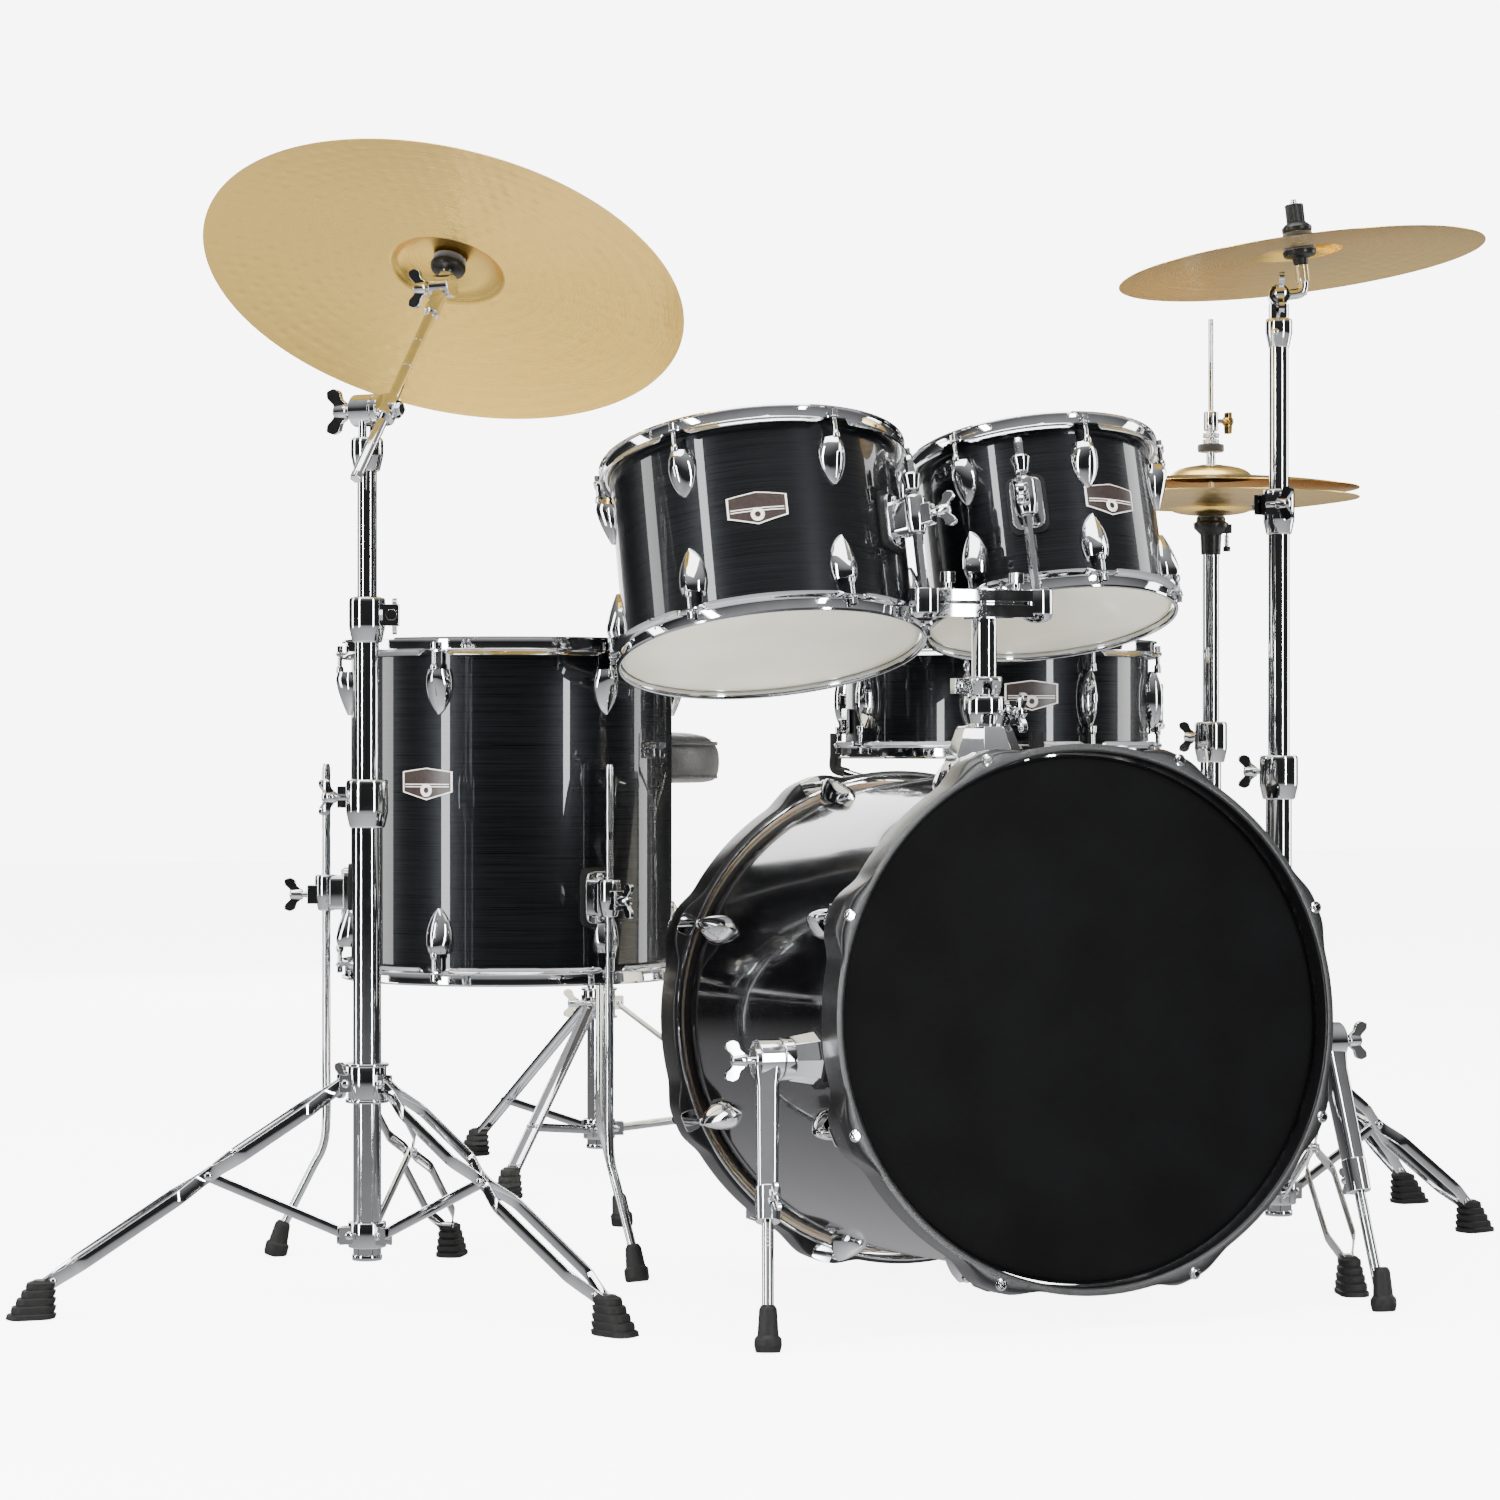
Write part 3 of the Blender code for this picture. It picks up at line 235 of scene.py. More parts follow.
def raise_by(made, source, height, strength=1.0):
    """Bump by a texture, whose whole range is height metres."""
    tree = made.node_tree
    bump = tree.nodes.new("ShaderNodeBump")
    bump.inputs["Distance"].default_value = height
    bump.inputs["Strength"].default_value = strength
    tree.links.new(source, bump.inputs["Height"])
    tree.links.new(bump.outputs["Normal"], tree.nodes["Principled BSDF"].inputs["Normal"])


def chrome():
    made = new_material("chrome_plate", (0.80, 0.81, 0.82), 0.05, 1.0)
    smudge = noise(made, (60, 60, 60), 4)
    vary(made, smudge, "Roughness", 0.025, 0.085)
    tint(made, smudge, (0.76, 0.77, 0.785), (0.83, 0.835, 0.84))
    return made


def worn_steel():
    made = new_material("bright_steel", (0.62, 0.62, 0.62), 0.22, 1.0)
    grain = noise(made, (900, 900, 900), 2)
    vary(made, grain, "Roughness", 0.16, 0.34)
    raise_by(made, grain, 0.00004)
    return made


def wrap_film():
    """Black wrap whose hairlines run round the drum, under a clear film."""
    made = new_material("black_hairline_wrap", (0.012, 0.016, 0.020), 0.30, 0.75, coat_weight=0.8,
                        coat_roughness=0.02)
    hairline = noise(made, (7, 7, 2600), 2)
    tint(made, hairline, (0.0008, 0.001, 0.0013), (0.011, 0.013, 0.016))
    vary(made, hairline, "Roughness", 0.26, 0.40)
    return made


def gloss_lacquer():
    made = new_material("black_gloss_lacquer", (0.002, 0.002, 0.0025), 0.10, 0.0, coat_weight=0.5,
                        coat_roughness=0.02)
    flow = noise(made, (14, 14, 14), 3)
    vary(made, flow, "Roughness", 0.07, 0.15)
    raise_by(made, flow, 0.00012, 0.5)
    return made


def satin_hoop():
    made = new_material("black_satin_hoop", (0.003, 0.003, 0.0035), 0.34, coat_weight=0.1,
                        coat_roughness=0.12)
    grain = noise(made, (700, 700, 700), 3)
    vary(made, grain, "Roughness", 0.26, 0.42)
    raise_by(made, grain, 0.00003, 0.6)
    return made


def front_film():
    made = new_material("charcoal_head_film", (0.001, 0.001, 0.0012), 0.55, specular_ior_level=0.06)
    grain = noise(made, (1600, 1600, 1600), 2)
    tint(made, noise(made, (9, 9, 9), 3), (0.0009, 0.0009, 0.0011), (0.0017, 0.0018, 0.0021))
    vary(made, grain, "Roughness", 0.44, 0.60)
    raise_by(made, grain, 0.00003, 0.4)
    return made


def coated_film():
    made = new_material("white_coated_film", (0.82, 0.80, 0.75), 0.62)
    grain = noise(made, (900, 900, 900), 3)
    tint(made, noise(made, (16, 16, 16), 4), (0.78, 0.76, 0.70), (0.85, 0.83, 0.79))
    raise_by(made, grain, 0.00006, 0.7)
    vary(made, grain, "Roughness", 0.52, 0.72)
    return made


def clear_film():
    made = new_material("cream_resonant_film", (0.88, 0.80, 0.66), 0.28, coat_weight=0.4, coat_roughness=0.05,
                        subsurface_weight=0.15)
    cloud = noise(made, (11, 11, 11), 3)
    tint(made, cloud, (0.90, 0.80, 0.62), (0.98, 0.91, 0.76))
    raise_by(made, noise(made, (26, 9, 9), 3), 0.0009, 0.35)
    return made


def bare_wood():
    made = new_material("pale_wood_lining", (0.50, 0.36, 0.22), 0.55)
    grain = noise(made, (30, 30, 420), 4)
    tint(made, grain, (0.36, 0.24, 0.14), (0.60, 0.45, 0.29))
    raise_by(made, grain, 0.0002, 0.4)
    return made


def cymbal_brass():
    """Turned brass: fine circular tool marks that spread the highlight across them."""
    made = new_material("turned_brass", (0.95, 0.62, 0.14), 0.27, 1.0, anisotropic=0.6)
    marks = rings(made, 1500)
    tint(made, marks, (0.90, 0.55, 0.10), (1.0, 0.72, 0.22))
    vary(made, marks, "Roughness", 0.20, 0.34)
    raise_by(made, marks, 0.00005, 0.5)
    tree = made.node_tree
    tangent = tree.nodes.new("ShaderNodeTangent")
    tangent.direction_type = "RADIAL"
    tangent.axis = "Z"
    tree.links.new(tangent.outputs["Tangent"], tree.nodes["Principled BSDF"].inputs["Tangent"])
    return made


def gilt():
    made = new_material("gilt_brass", (0.78, 0.53, 0.17), 0.16, 1.0)
    vary(made, noise(made, (200, 200, 200), 3), "Roughness", 0.10, 0.24)
    return made


def rubber():
    made = new_material("black_rubber", (0.005, 0.005, 0.005), 0.55, specular_ior_level=0.3)
    grain = noise(made, (500, 500, 500), 4)
    tint(made, grain, (0.003, 0.003, 0.003), (0.008, 0.008, 0.008))
    vary(made, grain, "Roughness", 0.45, 0.70)
    raise_by(made, grain, 0.0001, 0.5)
    return made


def black_plastic():
    made = new_material("black_nylon", (0.004, 0.004, 0.004), 0.32, specular_ior_level=0.35)
    grain = noise(made, (350, 350, 350), 3)
    vary(made, grain, "Roughness", 0.25, 0.42)
    raise_by(made, grain, 0.00005, 0.4)
    return made


def felt(name, dark, light):
    made = new_material(name, light, 0.95, sheen_weight=0.5)
    fibre = noise(made, (1400, 1400, 500), 5)
    tint(made, fibre, dark, light)
    raise_by(made, fibre, 0.0005, 0.9)
    return made


def seat_leather():
    made = new_material("black_seat_leather", (0.011, 0.011, 0.011), 0.40, sheen_weight=0.08)
    grain = cells(made, 420)
    tint(made, noise(made, (30, 30, 30), 4), (0.008, 0.008, 0.008), (0.017, 0.016, 0.016))
    vary(made, noise(made, (90, 90, 90), 3), "Roughness", 0.34, 0.50)
    raise_by(made, grain, 0.00035, 0.6)
    return made


def enamel(name, dark, light, roughness=0.3):
    made = new_material(name, light, roughness)
    tint(made, noise(made, (300, 300, 300), 3), dark, light)
    return made


def stage_paint():
    """A pale sweep that glows a little, as a studio's evenly lit one does."""
    made = new_material("pale_stage", (0.88, 0.88, 0.88), 0.9, emission_color=(1, 1, 1, 1),
                        emission_strength=FLOOR_GLOW)
    tint(made, noise(made, (2, 2, 2), 2), (0.865, 0.865, 0.868), (0.89, 0.89, 0.89))
    return made


LOOKS = {
    "chrome": chrome(), "steel": worn_steel(), "wrap": wrap_film(), "gloss": gloss_lacquer(),
    "satin": satin_hoop(), "front_film": front_film(), "coated_film": coated_film(), "film": clear_film(),
    "wood": bare_wood(), "brass": cymbal_brass(), "gilt": gilt(), "rubber": rubber(),
    "plastic": black_plastic(), "leather": seat_leather(),
    "white_felt": felt("white_felt", (0.62, 0.61, 0.58), (0.80, 0.79, 0.76)),
    "black_felt": felt("black_felt", (0.006, 0.006, 0.006), (0.020, 0.020, 0.020)),
    "badge_field": enamel("badge_brown", (0.020, 0.014, 0.013), (0.032, 0.022, 0.020)),
    "badge_rim": enamel("badge_cream", (0.66, 0.62, 0.58), (0.74, 0.70, 0.67)),
    "thread": enamel("seam_thread", (0.020, 0.020, 0.020), (0.045, 0.045, 0.045), 0.7),
}


# ---------------------------------------------------------------- shapes: (vertices, faces)
def about_z(degrees):
    return Matrix.Rotation(math.radians(degrees), 4, "Z")


def moved(shape, place):
    return [place @ v for v in shape[0]], shape[1]


def circle(radius, sides=20):
    return [(radius * math.cos(2 * math.pi * k / sides), radius * math.sin(2 * math.pi * k / sides))
            for k in range(sides)]


def eased(points, reach, steps=3, closed=False):
    """An outline with its corners rounded, each from `reach` before it to `reach` after it."""
    points = [Vector(p) for p in points]
    count = len(points)
    rounded = []
    for k, corner in enumerate(points):
        if not closed and k in (0, count - 1):
            rounded.append(corner)
            continue
        before, after = points[k - 1] - corner, points[(k + 1) % count] - corner
        start = corner + before.normalized() * min(reach, 0.45 * before.length)
        stop = corner + after.normalized() * min(reach, 0.45 * after.length)
        for j in range(steps + 1):
            t = j / steps
            rounded.append((1 - t) ** 2 * start + 2 * t * (1 - t) * corner + t * t * stop)
    return rounded


def oblong(width, height, reach=0.0008, steps=2):
    """A rectangle with eased corners, centred."""
    a, b = width / 2, height / 2
    return eased([(-a, -b), (a, -b), (a, b), (-a, b)], reach, steps, closed=True)


def lofted(sections, closed=False):
    """A skin through sections of the same count: capped at both ends, or closed on itself."""
    count = len(sections[0])
    vertices = [Vector(p) for section in sections for p in section]
    faces = [] if closed else [list(range(count)), list(range(len(vertices) - count, len(vertices)))]
    last = len(sections) if closed else len(sections) - 1
    for level in range(last):
        here, there = level * count, (level + 1) % len(sections) * count
        for k in range(count):
            following = (k + 1) % count
            faces.append([here + k, here + following, there + following, there + k])
    return vertices, faces


def turned(outline, sides=48):
    """A solid of revolution about Z. The outline runs from axis to axis, or round a ring's section."""
    count = len(outline)
    vertices, starts = [], []
    for r, z in outline:
        starts.append(len(vertices))
        if r < 1e-7:
            vertices.append(Vector((0, 0, z)))
        else:
            vertices += [Vector((x, y, z)) for x, y in circle(r, sides)]
    faces = []
    on_axis = [r < 1e-7 for r, _ in outline]
    pairs = [(j, j + 1) for j in range(count - 1)] + ([] if on_axis[0] else [(count - 1, 0)])
    for j, following in pairs:
        for k in range(sides):
            turn = (k + 1) % sides
            lower = [starts[j]] if on_axis[j] else [starts[j] + k, starts[j] + turn]
            first = starts[following]
            upper = [first] if on_axis[following] else [first + turn, first + k]
            faces.append(lower + upper)
    return vertices, faces


def disc(radius, low, high, reach=0.0008, sides=48, hole=0.0):
    """A flat round piece with eased edges, and a hole where it has one."""
    if hole:
        outline = eased([(hole, low), (radius, low), (radius, high), (hole, high)], reach, 2, closed=True)
    else:
        outline = eased([(0, low), (radius, low), (radius, high), (0, high)], reach, 2)
    return turned(outline, sides)


def spun(outline, reach, steps, sides, closed=False):
    """A solid of revolution whose outline has eased corners."""
    return turned(eased(outline, reach, steps, closed), sides)


def spring(x, y, low, height, radius, wire, turns, sides):
    """A coil spring standing at a point."""
    count = 12 * turns
    path = []
    for k in range(count + 1):
        a = 2 * math.pi * k / 12
        path.append(Vector((x + radius * math.cos(a), y + radius * math.sin(a), low + height * k / count)))
    return swept(path, circle(wire, sides))


def slab(outline, low, high):
    """An outline in X and Y, made into a plate from low to high in Z."""
    return lofted([[Vector((p[0], p[1], z)) for p in outline] for z in (low, high)])


def bar(low, high):
    """A box between two corners."""
    (x0, y0, z0), (x1, y1, z1) = low, high
    return slab([(x0, y0), (x1, y0), (x1, y1), (x0, y1)], z0, z1)


def level_side(along):
    side = along.cross(UP)
    return side.normalized() if side.length > 1e-4 else Vector((1, 0, 0))


def swept(path, section, side=None, sizes=None):
    """A section of (across, rise) points carried along a path and capped; side is across at its start."""
    path = [Vector(p) for p in path]
    side = level_side(path[1] - path[0]) if side is None else Vector(side)
    sections = []
    for k, point in enumerate(path):
        along = (path[min(k + 1, len(path) - 1)] - path[max(k - 1, 0)]).normalized()
        side = (side - side.dot(along) * along).normalized()
        rise = side.cross(along)
        size = sizes[k] if sizes else 1.0
        sections.append([point + size * (a * side + b * rise) for a, b in section])
    return lofted(sections)


def rod(start, end, radius, end_radius=None, sides=24):
    """A round bar with eased ends, or a cone where end_radius differs."""
    start, end = Vector(start), Vector(end)
    last = radius if end_radius is None else end_radius
    length = (end - start).length
    reach = min(0.0008, radius * 0.3, length * 0.2)
    shares = [0, reach / length, 1 - reach / length, 1]
    sizes = [radius - reach, radius, last, last - min(reach, last * 0.3)]
    return swept([start.lerp(end, s) for s in shares], circle(1, sides), sizes=sizes)


def smooth_path(points, steps=8):
    """A Catmull-Rom curve through points."""
    points = [Vector(p) for p in points]
    padded = [2 * points[0] - points[1], *points, 2 * points[-1] - points[-2]]
    path = []
    for k in range(1, len(padded) - 2):
        a, b, c, d = padded[k - 1:k + 3]
        for j in range(steps):
            t = j / steps
            path.append(0.5 * (2 * b + (c - a) * t + (2 * a - 5 * b + 4 * c - d) * t ** 2
                               + (3 * b - 3 * c + d - a) * t ** 3))
    return path + [points[-1]]


def along(origin, axis):
    """The placement that carries +Z onto an axis at a point, with +X level."""
    axis = Vector(axis).normalized()
    side = level_side(axis)
    turn = Matrix((side, axis.cross(side), axis)).transposed().to_4x4()
    return Matrix.Translation(origin) @ turn


def polar(radius, degrees, z=0.0):
    a = math.radians(degrees)
    return Vector((radius * math.cos(a), radius * math.sin(a), z))


def on_wall(radius, degrees, z=0.0, flip=False):
    """The frame of something on a drum's wall: +X outward, +Z along the drum. Flipped, +Z points down."""
    turn = about_z(degrees) @ Matrix.Translation((radius, 0, z))
    return turn @ Matrix.Rotation(math.pi, 4, "X") if flip else turn


# ---------------------------------------------------------------- pieces
def piece(name, shapes, look, body, replaces=(), place=Matrix(), bevel=0.0, sharp=38):
    vertices, faces = [], []
    for shape_vertices, shape_faces in shapes:
        first = len(vertices)
        vertices += [tuple(v) for v in shape_vertices]
        faces += [[first + k for k in face] for face in shape_faces]
    mesh = bpy.data.meshes.new(name)
    mesh.from_pydata(vertices, [], faces)
    work = bmesh.new()
    work.from_mesh(mesh)
    bmesh.ops.recalc_face_normals(work, faces=work.faces)
    work.to_mesh(mesh)
    work.free()
    mesh.shade_smooth()
    mesh.set_sharp_from_angle(angle=math.radians(sharp))
    mesh.materials.append(LOOKS[look])
    made = bpy.data.objects.new(name, mesh)
    bpy.context.scene.collection.objects.link(made)
    made.matrix_world = KIT @ place
    if bevel:
        soften = made.modifiers.new("edges", "BEVEL")
        soften.width = bevel
        soften.segments = 2
        soften.angle_limit = math.radians(sharp)
        soften.harden_normals = True
    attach(made, body)
    if replaces:
        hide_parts(*replaces)
    return made


def chrome_piece(name, shapes, body, replaces=(), place=Matrix(), bevel=0.0006, sharp=38):
    return piece(name, shapes, "chrome", body, replaces, place, bevel, sharp)


# ---------------------------------------------------------------- fasteners
def square_head(low, high, width=0.0062):
    """A drum key's square head on a washer."""
    return [disc(width * 0.80, low, low + 0.0014, 0.0003, 20),
            slab(oblong(width, width, 0.0006), low + 0.0014, high)]


def screw_head(radius, height, place=Matrix()):
    """A plain domed screw head."""
    dome = turned([(0, 0), (radius, 0), (radius, height * 0.35), (radius * 0.86, height * 0.75),
                   (radius * 0.5, height), (0, height)], 20)
    return moved(dome, place)


def wing_bolt(reach=0.018, size=1.0):
    """A bolt along +Z with two rounded wings at its end."""
    wing = [(0, 0), (0.0065, 0), (0.0095, 0.0045), (0.0165, 0.0065), (0.0190, 0.0120), (0.0165, 0.0185),
            (0.0110, 0.0180), (0.0055, 0.0120), (0, 0.0105)]
    outline = [(x, y) for x, y in wing] + [(-x, y) for x, y in reversed(wing[1:-1])]
    plate = slab(eased([(x * size, y * size) for x, y in outline], 0.0016, 2, closed=True),
                 -0.0024 * size, 0.0024 * size)
    upright = Matrix.Translation((0, 0, reach - 0.004)) @ about_z(90) @ Matrix.Rotation(math.pi / 2, 4, "X")
    hub = spun([(0, reach - 0.006), (0.0062 * size, reach - 0.006), (0.0052 * size, reach + 0.008 * size),
                (0, reach + 0.009 * size)], 0.001, 2, 20)
    shank = turned([(0, -0.002), (0.0034, -0.002), (0.0034, reach), (0, reach)], 16)
    return [shank, hub, moved(plate, upright)]


def placed(shapes, place):
    return [moved(shape, place) for shape in shapes]


def barrel(radius, low, high, bore, flare=0.0):
    """A tube clamp's cast barrel: straight above, drawn in below."""
    outline = [(bore, low), (radius - 0.0035, low), (radius, low + 0.016), (radius + flare, high - 0.003),
               (radius + flare - 0.001, high), (bore, high)]
    return turned(eased(outline, 0.0022, 3, closed=True), 40)


def clamp(radius, low, high, bore, degrees, wing=0.016):
    """A barrel with its split lug, hexagon nut and wing bolt, facing an angle."""
    middle = high - 0.018
    split = 0.0022
    shapes = [barrel(radius, low, high, bore)]
    for side in (-1, 1):
        cheek = bar((radius - 0.004, min(side * split, side * 0.0085), middle - 0.011),
                    (radius + 0.014, max(side * split, side * 0.0085), middle + 0.011))
        shapes.append(cheek)
    bolt = along((radius + 0.007, 0.0085, middle), (0, 1, 0))
    shapes += placed(wing_bolt(wing), bolt)
    nut = slab(circle(0.0062, 6), 0, 0.005)
    shapes.append(moved(nut, along((radius + 0.007, -0.0085, middle), (0, -1, 0))))
    return [moved(shape, about_z(degrees)) for shape in shapes]


def tube(radius, low, high, wall=0.0013, sides=40):
    return turned(eased([(radius - wall, low), (radius, low), (radius, high), (radius - wall, high)],
                        0.0004, 1, closed=True), sides)


# ---------------------------------------------------------------- drums
def shell_ring(radius, depth):
    """A shell's thin outer skin, which stops short of the bearing edges."""
    half = depth / 2
    outline = [(radius - 0.0012, -half + 0.003), (radius, -half + 0.003), (radius, half - 0.003),
               (radius - 0.0012, half - 0.003)]
    return turned(outline, 144)


def shell_lining(radius, depth):
    """The wooden ply inside the skin, with bearing edges cut at its rims."""
    half = depth / 2
    inner, outer = radius - SHELL_THICKNESS, radius - 0.0014
    outline = [(inner, -half + 0.005), (inner + 0.003, -half), (outer, -half + 0.002), (outer, half - 0.002),
               (inner + 0.003, half), (inner, half - 0.005)]
    return turned(outline, 96)


def teardrop_lug(width, length, height):
    """A cast lug: flat end at z = 0 under the rod, a ridge down its middle and a point at -length."""
    sections = []
    steps = 22
    for k in range(steps + 1):
        t = 0.985 * k / steps
        swell = 0.84 + 0.16 * math.sin(math.pi / 2 * min(t / 0.30, 1))
        fall = 1 if t < 0.30 else (1 - ((t - 0.30) / 0.70) ** 2) ** 0.72
        half = width / 2 * swell * fall
        top = height * (0.88 + 0.12 * min(t / 0.15, 1)) * (1 - 0.80 * max(0, (t - 0.15) / 0.85) ** 1.5)
        side = [(half, -0.002), (half, 0.10 * top), (half * 0.93, 0.30 * top), (half * 0.60, 0.66 * top),
                (half * 0.26, 0.90 * top)]
        section = side + [(0, top)] + [(-w, h) for w, h in reversed(side)]
        sections.append([Vector((h, w, -length * t)) for w, h in section])
    return lofted(sections)


def swivel_nut(reach, offset=ROD_OFFSET):
    """The threaded insert that shows where a rod enters its lug."""
    nut = spun([(0, -0.001), (0.0043, -0.001), (0.0043, reach * 0.5), (0.0034, reach), (0, reach)],
               0.0005, 2, 20)
    return moved(nut, Matrix.Translation((offset, 0, 0)))


def tension_rod(bottom, top, head_top, offset=ROD_OFFSET):
    shapes = [turned([(0, bottom), (0.0026, bottom), (0.0026, top), (0, top)], 16)]
    shapes += square_head(top, head_top)
    return placed(shapes, Matrix.Translation((offset, 0, 0)))


def sheet_section(points, thickness):
    """A closed section of even thickness about an open line of (radius, height) points."""
    points = [Vector(p) for p in points]
    normals = []
    for k in range(len(points)):
        run = points[min(k + 1, len(points) - 1)] - points[max(k - 1, 0)]
        normals.append(Vector((-run.y, run.x)).normalized() * thickness / 2)
    outer = [p + n for p, n in zip(points, normals)]
    inner = [p - n for p, n in zip(points, normals)]
    return outer + inner[::-1]


def nearness(degrees, angles, half_width, blend):
    """1 within half_width degrees of the nearest angle, easing to 0 over blend."""
    gap = min(abs((degrees - a + 180) % 360 - 180) for a in angles)
    t = min(max((half_width + blend - gap) / blend, 0), 1)
    return t * t * (3 - 2 * t)


def flanged_hoop(radius, depth, ear_angles):
    """A triple-flanged hoop at the drum's top: rolled lip, upright wall, and a skirt that opens into ears."""
    low, high = depth / 2 - HOOP_UNDER_EDGE, depth / 2 + HOOP_OVER_HEAD
    ear_half = math.degrees(0.0085 / radius)
    blend = math.degrees(0.010 / radius)
    wall = [(0.0098, high - 0.0022), (0.0094, high - 0.0007), (0.0080, high - 0.0006),
            (0.0066, high - 0.0014), (0.0062, high - 0.0035), (0.0062, low + 0.0085), (0.0066, low + 0.0068)]
    skirt = [(0.0090, low + 0.0052), (0.0110, low + 0.0030), (0.0122, low + 0.0008)]
    ear = [(0.0088, low + 0.0058), (0.0125, low + 0.0055), (0.0168, low + 0.0054)]
    sections = []
    count = 300
    for k in range(count):
        degrees = 360 * k / count
        near = nearness(degrees, ear_angles, ear_half, blend)
        flange = [Vector(s).lerp(Vector(e), near) for s, e in zip(skirt, ear)]
        section = sheet_section([Vector(p) for p in wall] + flange, 0.0015)
        sections.append([polar(radius + r, degrees, z) for r, z in section])
    return lofted(sections, closed=True)


def head_film(radius, depth, crown=0.0):
    """A drumhead: film, its collar over the bearing edge, and a rolled rim under the hoop."""
    low = depth / 2 + 0.0003
    rim = radius + 0.0042
    outline = [(0, low), (radius - 0.001, low), (radius + 0.0012, low - 0.0016),
               (radius + 0.0016, low - 0.004), (rim, low - 0.004), (rim, low + 0.0005),
               (radius + 0.0022, low + 0.0005),
               (radius + 0.0006, low + 0.0012), (radius - 0.004, low + 0.0014 + crown),
               (0, low + 0.0014 + crown)]
    return turned(eased(outline, 0.0006, 2), 120)


def flesh_hoop(radius, depth):
    """The bright metal ring that holds the film."""
    low = depth / 2 - 0.0045
    return disc(radius + 0.0047, low, low + 0.0035, 0.0006, 120, hole=radius + 0.0019)


def badge(radius, degrees, z):
    """A shield plate curved to the wall: its rim, field, stripes and breather eyelet."""
    def wrapped(outline, low, high):
        upper = [p for p in outline if p[1] >= 0]
        lower = [p for p in outline if p[1] < 0]
        reach = max(p[0] for p in upper)
        sections = []
        for k in range(17):
            u = -reach + 2 * reach * k / 16
            top = np.interp(u, [p[0] for p in upper], [p[1] for p in upper])
            bottom = np.interp(u * lower[-1][0] / reach, [p[0] for p in lower], [p[1] for p in lower])
            turn = math.degrees(u / radius)
            corners = ((low, bottom), (high, bottom), (high, top), (low, top))
            sections.append([polar(radius + out, degrees + turn, z + height) for out, height in corners])
        return lofted(sections)

    def shield(size):
        return [(-0.031 * size, 0.0125 * size), (0, 0.0165 * size), (0.031 * size, 0.0125 * size),
                (-0.029 * size, -0.0095 * size), (0, -0.0180 * size), (0.029 * size, -0.0095 * size)]

    stripes = []
    reach, width = 0.0272, 0.0009
    for low in (-0.0016, -0.0042):
        corners = ((0.0006, low), (0.0017, low), (0.0017, low + width), (0.0006, low + width))
        sections = []
        for k in range(13):
            turn = math.degrees((-reach + 2 * reach * k / 12) / radius)
            sections.append([polar(radius + out, degrees + turn, z + up) for out, up in corners])
        stripes.append(lofted(sections))
    eyelet = spun([(0.0030, 0), (0.0072, 0), (0.0072, 0.0016), (0.0050, 0.0032), (0.0030, 0.0016)],
                  0.0006, 2, 32, closed=True)
    face = on_wall(radius, degrees, z - 0.0075) @ Matrix.Rotation(math.pi / 2, 4, "Y")
    return {"rim": [wrapped(shield(1.0), 0.0002, 0.0010)], "field": [wrapped(shield(0.93), 0.0004, 0.0014)],
            "stripes": stripes, "eyelet": [moved(eyelet, face)]}


def add_badge(name, radius, degrees, z, body, place):
    parts = badge(radius, degrees, z)
    piece(f"{name}_badge_rim", parts["rim"] + parts["stripes"], "badge_rim", body, place=place)
    piece(f"{name}_badge_field", parts["field"], "badge_field", body, place=place)
    piece(f"{name}_eyelet", parts["eyelet"], "badge_rim", body, place=place)


DRUM_ENDS = (("top", False, "coated_film"), ("bottom", True, "film"))


def upside_down():
    return Matrix.Rotation(math.pi, 4, "X")


def drum_end(name, label, size, angles, film, body, end, lugs=(), rod_low=None):
    """A hoop, the lugs and tension rods under it, the film and its metal ring, at a drum's top."""
    radius, depth = size["radius"], size["depth"]
    half = depth / 2
    ear = half - HOOP_UNDER_EDGE + 0.0062
    rod_low = half - LUG_FROM_EDGE if rod_low is None else rod_low
    rods = []
    for degrees in angles:
        rods += placed(tension_rod(rod_low, ear, ear + 0.0085), on_wall(radius, degrees))
    chrome_piece(f"{name}_{label}_rim", [flanged_hoop(radius, depth, angles)], body,
                 (f"{name}_{label}_hoop",), end, 0.0, 50)
    if lugs:
        chrome_piece(f"{name}_{label}_lugs", lugs, body, place=end, bevel=0.0004, sharp=42)
    chrome_piece(f"{name}_{label}_rods", rods, body, place=end, bevel=0.0003)
    piece(f"{name}_{label}_film", [head_film(radius, depth)], film, body,
          (f"{name}_{label}_head",), end)
    chrome_piece(f"{name}_{label}_flesh_ring", [flesh_hoop(radius, depth)], body, place=end, bevel=0.0)


def two_headed_drum(name, size, lug_angles, body, place, badge_angle):
    """A wrapped shell with lugs, hoops, rods and heads at both ends, and a badge at its turn and height."""
    radius, depth = size["radius"], size["depth"]
    half = depth / 2
    piece(f"{name}_wrap", [shell_ring(radius, depth)], "wrap", body, (f"{name}_shell",), place)
    piece(f"{name}_lining", [shell_lining(radius, depth)], "wood", body, place=place)
    for label, flip, film in DRUM_ENDS:
        end = place @ upside_down() if flip else place
        angles = [-a for a in lug_angles] if flip else lug_angles
        lugs = []
        for degrees in angles:
            seat = on_wall(radius, degrees, half - LUG_FROM_EDGE)
            lugs += [moved(teardrop_lug(*TOM_LUG), seat), moved(swivel_nut(0.006), seat)]
        drum_end(name, label, size, angles, film, body, end, lugs)
    add_badge(name, radius, badge_angle[0], badge_angle[1], body, place)


# ---------------------------------------------------------------- bass drum
def bass_place():
    half = BASS_LENGTH / 2
    centre = Vector((0, half * math.cos(BASS_TILT), BASS_REAR_HEIGHT + half * math.sin(BASS_TILT)))
    return Matrix.Translation(centre) @ Matrix.Rotation(math.pi / 2 - BASS_TILT, 4, "X")


